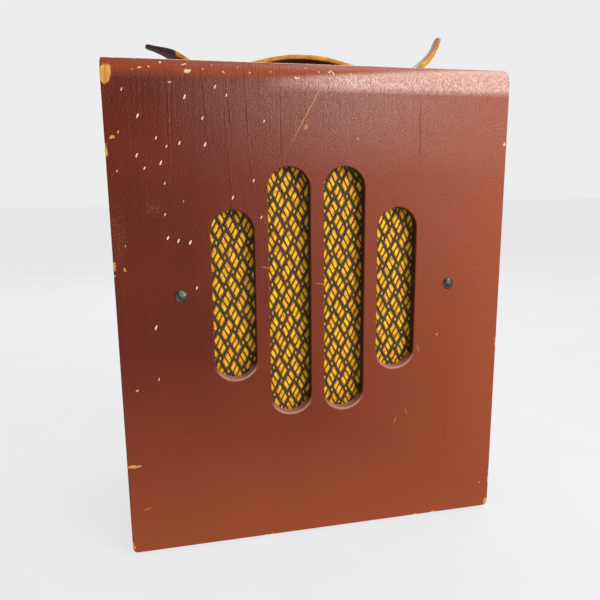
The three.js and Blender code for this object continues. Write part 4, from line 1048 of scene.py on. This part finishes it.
def controlKnob(name, body):
    low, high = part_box(name)
    centre = Vector(((low.x + high.x) / 2, low.y, (low.z + high.z) / 2))
    radius, tall = (high.x - low.x) / 2, high.y - low.y
    skirt = [(0, tall - 3 * mm), (knobs["bore"], tall - 3 * mm), (knobs["bore"], 0), (radius * 0.97, 0)]
    skirt += [(radius, 0.4 * mm), (radius, 2.0 * mm), (radius * 0.96, 2.7 * mm), (radius * 0.87, 3.2 * mm)]
    grip = [(radius * (0.85 - 0.08 * i / 8), 3.5 * mm + (tall - 5.3 * mm) * i / 8) for i in range(9)]
    crown = [(radius * 0.745, tall - 1.1 * mm), (radius * 0.7, tall - 0.4 * mm)]
    crown += [(radius * 0.63, tall - 0.06 * mm), (radius * 0.55, tall), (radius * 0.5, tall - 0.25 * mm)]
    crown += [(radius * 0.3, tall - 0.5 * mm), (0, tall - 0.55 * mm)]
    first = len(skirt)

    def fluted(angle, index):
        if not first <= index < first + 9:
            return 1
        fade = math.sin(math.pi * min(index - first + 1.5, 5) / 10)
        return 1 - knobs["flute"] * fade * (0.5 - 0.5 * math.cos(knobs["flutes"] * angle)) ** 0.6

    points, faces = lathe(skirt + grip + crown, centre, "y", knobs["flutes"] * 8, fluted)
    mesh = meshOf(name, points, faces)
    mesh.set_sharp_from_angle(angle=math.radians(50))
    pieceFrom(name + "_moulding", mesh, finish["phenolic"], body, [name])
    half, top = knobs["line"] / 2, centre.y + tall
    line = [(centre.z + radius * 0.28, top - 0.9 * mm), (centre.z + radius * 0.28, top - 0.44 * mm)]
    line += [(centre.z + radius * 0.5, top - 0.2 * mm), (centre.z + radius * 0.55, top + 0.05 * mm)]
    line += [(centre.z + radius * 0.64, top), (centre.z + radius * 0.71, top - 0.4 * mm)]
    line += [(centre.z + radius * 0.75, top - 1.2 * mm), (centre.z + radius * 0.6, top - 1.6 * mm)]
    order = [(y, z) for z, y in line]
    points, faces = prism(order, centre.x - half, centre.x + half, "yz")
    mesh = meshOf(name + "_line", points, faces, False)
    pieceFrom(name + "_line", mesh, finish["ivory"], body)


for control in ("volume", "tuning", "tone"):
    controlKnob(control + "_knob", control)
print("knobs made")

# markings on the dial and on the panel, read from behind
dial = {
    "figures": (55, 60, 65, 70, 80, 90, 100, 110, 120, 130, 140, 150, 160),
    "figure": 3.1 * mm,
    "ring": 25.6 * mm,
    "figureRing": 19.6 * mm,
    "long": 3.6 * mm,
    "short": 1.9 * mm,
    "thick": 0.35 * mm,
    "ink": 0.08 * mm,
    "innerRing": 14.5 * mm,
    "panelRing": 17.6 * mm,  # of the marks round the volume and tone knobs
    "panelLong": 2.6 * mm,
    "panelShort": 1.5 * mm,
}


def strokes(name, marks, y, depth, material):
    # each mark is (x, z, wide, tall, turn): a thin printed bar standing off the surface by its ink
    points, faces = [], []
    for x, z, wide, tall, turn in marks:
        c, q = math.cos(turn), math.sin(turn)
        corners = [(-wide / 2, -tall / 2), (wide / 2, -tall / 2), (wide / 2, tall / 2), (-wide / 2, tall / 2)]
        outline = [(x + a * c + b * q, z - a * q + b * c) for a, b in corners]
        own, ownFaces = prism(outline, y, y + depth)
        faces += [[v + len(points) for v in face] for face in ownFaces]
        points += own
    return pieceFrom(name, meshOf(name, points, faces, False), material, "cabinet")


def lettered(name, words, y, material):  # each word is (text, x, z, size, turn)
    work = bmesh.new()
    for text, x, z, size, turn in words:
        data = bpy.data.curves.new("figure", "FONT")
        data.body = text
        data.size = size
        data.extrude = dial["ink"] / 2
        data.align_x = "CENTER"
        data.align_y = "CENTER"
        made = bpy.data.objects.new("figure", data)
        bpy.context.scene.collection.objects.link(made)
        bpy.context.view_layer.update()
        graph = bpy.context.evaluated_depsgraph_get()
        flat = bpy.data.meshes.new_from_object(made.evaluated_get(graph))
        facing = Matrix.Rotation(math.pi, 4, "Z") @ Matrix.Rotation(math.pi / 2, 4, "X")
        spot = Matrix.Translation((x, y + dial["ink"] / 2, z))
        flat.transform(spot @ Matrix.Rotation(turn, 4, "Y") @ facing)
        work.from_mesh(flat)
        bpy.data.objects.remove(made)
    mesh = bpy.data.meshes.new(name)
    work.to_mesh(mesh)
    work.free()
    return pieceFrom(name, mesh, material, "cabinet")


def around(x, z, away, turn):  # a place on a circle, turned from straight up
    return x + away * math.sin(turn), z + away * math.cos(turn)


def dialMarkings():
    low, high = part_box("dial_scale")
    x, z = (low.x + high.x) / 2, (low.z + high.z) / 2
    face = low.y + 0.8 * mm
    ticks, words = [], []
    count = len(dial["figures"]) - 1
    for step in range(count * 5 + 1):
        turn = math.radians(90 - 180 * step / (count * 5))  # lowest figure at the left, seen from behind
        tall = dial["long"] if step % 5 == 0 else dial["short"]
        ticks.append((*around(x, z, dial["ring"] - tall / 2, turn), dial["thick"], tall, turn))
        if step % 5 == 0:
            spot = around(x, z, dial["figureRing"], turn)
            words.append((str(dial["figures"][step // 5]), *spot, dial["figure"], turn))
    strokes("dial_ticks", ticks, face, dial["ink"], finish["ink"])
    lettered("dial_figures", words, face, finish["ink"])
    rings = []
    for step in range(120):
        turn = math.radians(90 - 180 * (step + 0.5) / 120)
        away = dial["innerRing"]
        rings.append((*around(x, z, away, turn), away * math.pi / 120, 0.3 * mm, turn))
    strokes("dial_ring", rings, face, dial["ink"], finish["ink"])


def panelMarkings():
    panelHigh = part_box("control_panel")[1]
    marks = []
    for name in ("volume_knob", "tone_knob"):
        low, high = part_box(name)
        x, z = (low.x + high.x) / 2, (low.z + high.z) / 2
        for step in range(11):
            turn = -math.radians(30 * step)  # clockwise, seen from behind
            tall = dial["panelLong"] if step % 5 == 0 else dial["panelShort"]
            marks.append((*around(x, z, dial["panelRing"], turn), 0.6 * mm, tall, turn))
    strokes("panel_marks", marks, panelHigh.y - 0.01 * mm, 0.12 * mm, finish["ivory"])


dialMarkings()
panelMarkings()
print("markings made")


# valves: blown bulb on a moulded base, with plate and mica inside
valve = {"glass": 0.8 * mm, "baseTall": 22 * mm, "pin": 9 * mm}


def smoothProfile(knots, steps=6):  # a soft curve through every knot
    out = []
    for i in range(len(knots) - 1):
        before, a = knots[max(i - 1, 0)], knots[i]
        b, after = knots[i + 1], knots[min(i + 2, len(knots) - 1)]
        for k in range(steps):
            t = k / steps
            spot = []
            for n in (0, 1):
                slope = b[n] - before[n]
                bend = 2 * before[n] - 5 * a[n] + 4 * b[n] - after[n]
                twist = 3 * a[n] - before[n] - 3 * b[n] + after[n]
                spot.append(0.5 * (2 * a[n] + slope * t + bend * t * t + twist * t**3))
            out.append(tuple(spot))
    return out + [knots[-1]]


def radioValve(name):
    low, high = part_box(name)
    centre = Vector(((low.x + high.x) / 2, (low.y + high.y) / 2, low.z + 4 * mm))
    radius, tall = (high.x - low.x) / 2, high.z - centre.z
    knots = [(radius * 0.7, valve["baseTall"] + 0.4 * mm), (radius * 0.76, 26 * mm)]
    knots += [(radius * 0.98, tall * 0.48), (radius * 0.99, tall * 0.6)]
    knots += [(radius * 0.66, tall * 0.76), (radius * 0.6, tall * 0.86), (radius * 0.5, tall * 0.95)]
    knots += [(radius * 0.22, tall - 0.6 * mm), (0, tall - 0.5 * mm)]
    outer = [(max(r, 0), h) for r, h in smoothProfile(knots)]
    wall = valve["glass"]
    inner = [(max(r - wall, 0), h - (wall if r < radius * 0.4 else 0)) for r, h in outer]
    inner[-1] = (0, inner[-1][1])
    outer[-1] = (0, outer[-1][1])
    points, faces = lathe(outer[::-1] + [(inner[0][0], inner[0][1])] + inner[1:], centre, "z", 48)
    mesh = meshOf(name, points, faces)
    pieceFrom(name + "_bulb", mesh, finish["glass"], "cabinet", [name])
    base = [(0, -4 * mm), (valve["pin"] - 0.5 * mm, -4 * mm), (valve["pin"], -3.5 * mm), (valve["pin"], 0)]
    base += [(radius * 0.79, 0), (radius * 0.82, 0.5 * mm), (radius * 0.82, valve["baseTall"] - 1 * mm)]
    base += [(radius * 0.78, valve["baseTall"]), (radius * 0.7, valve["baseTall"] + 0.4 * mm)]
    base += [(0, valve["baseTall"] + 0.4 * mm)]
    points, faces = lathe(base, centre, "z", 48)
    mesh = meshOf(name + "_base", points, faces)
    mesh.set_sharp_from_angle(angle=math.radians(40))
    pieceFrom(name + "_base", mesh, finish["phenolic"], "cabinet")
    plate = [(0, 30 * mm), (radius * 0.42, 30 * mm), (radius * 0.42, 31 * mm), (radius * 0.4, 31.5 * mm)]
    plate += [(radius * 0.4, tall * 0.66), (radius * 0.42, tall * 0.67), (radius * 0.42, tall * 0.68)]
    plate += [(radius * 0.52, tall * 0.68), (radius * 0.52, tall * 0.69), (0, tall * 0.69)]
    points, faces = lathe(plate, centre, "z", 6)  # a folded, six-sided plate under its mica disc
    mesh = meshOf(name + "_plate", points, faces, False)
    pieceFrom(name + "_plate", mesh, finish["getter"], "cabinet")


for name in sorted(frame["nodes"]):
    if name.startswith("valve"):
        radioValve(name)
print("valves made")

# loudspeaker cone: pressed paper with rings round its edge and a dust cap
cone = {
    "thick": 0.9 * mm,
    "rings": 4,
    "ring": 3.4 * mm,
    "rise": 0.8 * mm,
    "overCoil": 1.2 * mm,
    "lowest": 5.2 * mm,  # from the cone's bottom to the back of its box
    "capTall": 7.4 * mm,
}


def speakerCone():
    low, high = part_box("speaker_cone")
    centre = Vector(((low.x + high.x) / 2, low.y, (low.z + high.z) / 2))
    rim, deep = (high.x - low.x) / 2, high.y - low.y
    coilLow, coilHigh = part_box("voice_coil")
    neck = (coilHigh.x - coilLow.x) / 2 + cone["overCoil"]
    front = [(rim, 0.2 * mm)]
    surround = cone["rings"] * cone["ring"]
    for i in range(1, cone["rings"] * 8 + 1):
        share = i / 8
        front.append((rim - share * cone["ring"], 1.0 * mm - cone["rise"] * math.sin(2 * math.pi * share)))
    start = rim - surround
    for i in range(1, 15):
        share = i / 14
        radius = start + (neck - 1 * mm - start) * share
        front.append((radius, 1.0 * mm + (deep - cone["lowest"]) * (0.8 * share + 0.2 * share**2)))
    capTop = front[-1][1]
    for i in range(1, 13):
        angle = math.pi / 2 * i / 12
        front.append(((neck - 1 * mm) * math.cos(angle), capTop - cone["capTall"] * math.sin(angle)))
    front[-1] = (0, front[-1][1])
    back = [(r, h + cone["thick"]) for r, h in front]
    back[0] = (rim, 0.2 * mm + cone["thick"])
    points, faces = lathe(front[::-1] + back, centre, "y", 96)
    mesh = meshOf("cone", points, faces)
    nodes = ["speaker_cone"]
    pieceFrom("speaker_cone_paper", mesh, finish["paper"], "speaker_cone_body", nodes)


speakerCone()
print("cone made")

# floor, light and sky
floorMesh = meshOf("floor", [(-8, -8, 0), (8, -8, 0), (8, 8, 0), (-8, 8, 0)], [[0, 1, 2, 3]], False)
floorPiece = bpy.data.objects.new("floor", floorMesh)
bpy.context.scene.collection.objects.link(floorPiece)
# Opal acrylic, lit from below: pale and almost without shadows, faintly cloudy.
floorPiece.data.materials.append(
    twoTone(
        "opal_acrylic_light_table", "#5c5c5d", "#626263", 0.95, 90, 25, 0.3, 0.05,
        Specular_IOR_Level=0.0, Emission_Color=linear("#fdfdff"), Emission_Strength=0.74,
    )
)

# the studio looks pale to the eye, but only a dim part of it lights the set
world = bpy.data.worlds.new("studio")
bpy.context.scene.world = world
world.use_nodes = True
sky = world.node_tree
sky.nodes.clear()
seenBy = add(sky, "LightPath")
dimRoom = add(sky, "Background", linear("#eceff2"), 0.32)
paleRoom = add(sky, "Background", linear("#ededee"), 1.0)
shown = add(sky, "MixShader", seenBy.outputs["Is Camera Ray"], dimRoom, paleRoom)
add(sky, "OutputWorld", shown)
bpy.context.scene.view_settings.view_transform = "Standard"


def aimed(lamp, place, aim):
    lamp.location = place
    lamp.rotation_euler = (Vector(aim) - Vector(place)).to_track_quat("-Z", "Y").to_euler()
    bpy.context.scene.collection.objects.link(lamp)


lamps = [  # name, place, aimed at, size, watts
    ("softbox, front right", (0.58, -0.9, 0.6), (0.02, -0.07, 0.26), (0.5, 0.4), 10),
    ("softbox, overhead right", (0.42, 0.2, 1.2), (0.05, 0, 0.33), (0.5, 0.4), 4),
    ("strip, behind", (0.0, 1.2, 0.8), (0, 0, 0.3), (1.6, 0.4), 9),
]
for name, place, aim, size, watts in lamps:
    data = bpy.data.lights.new(name, "AREA")
    data.shape = "RECTANGLE"
    data.size, data.size_y = size
    data.energy = watts
    aimed(bpy.data.objects.new(name, data), place, aim)
daylight = bpy.data.lights.new("diffused daylight", "SUN")
daylight.energy = 1.05
daylight.angle = math.radians(60)
aimed(bpy.data.objects.new("diffused daylight", daylight), (0.8, -0.7, 2.0), (0, 0, 0))
print("light set")
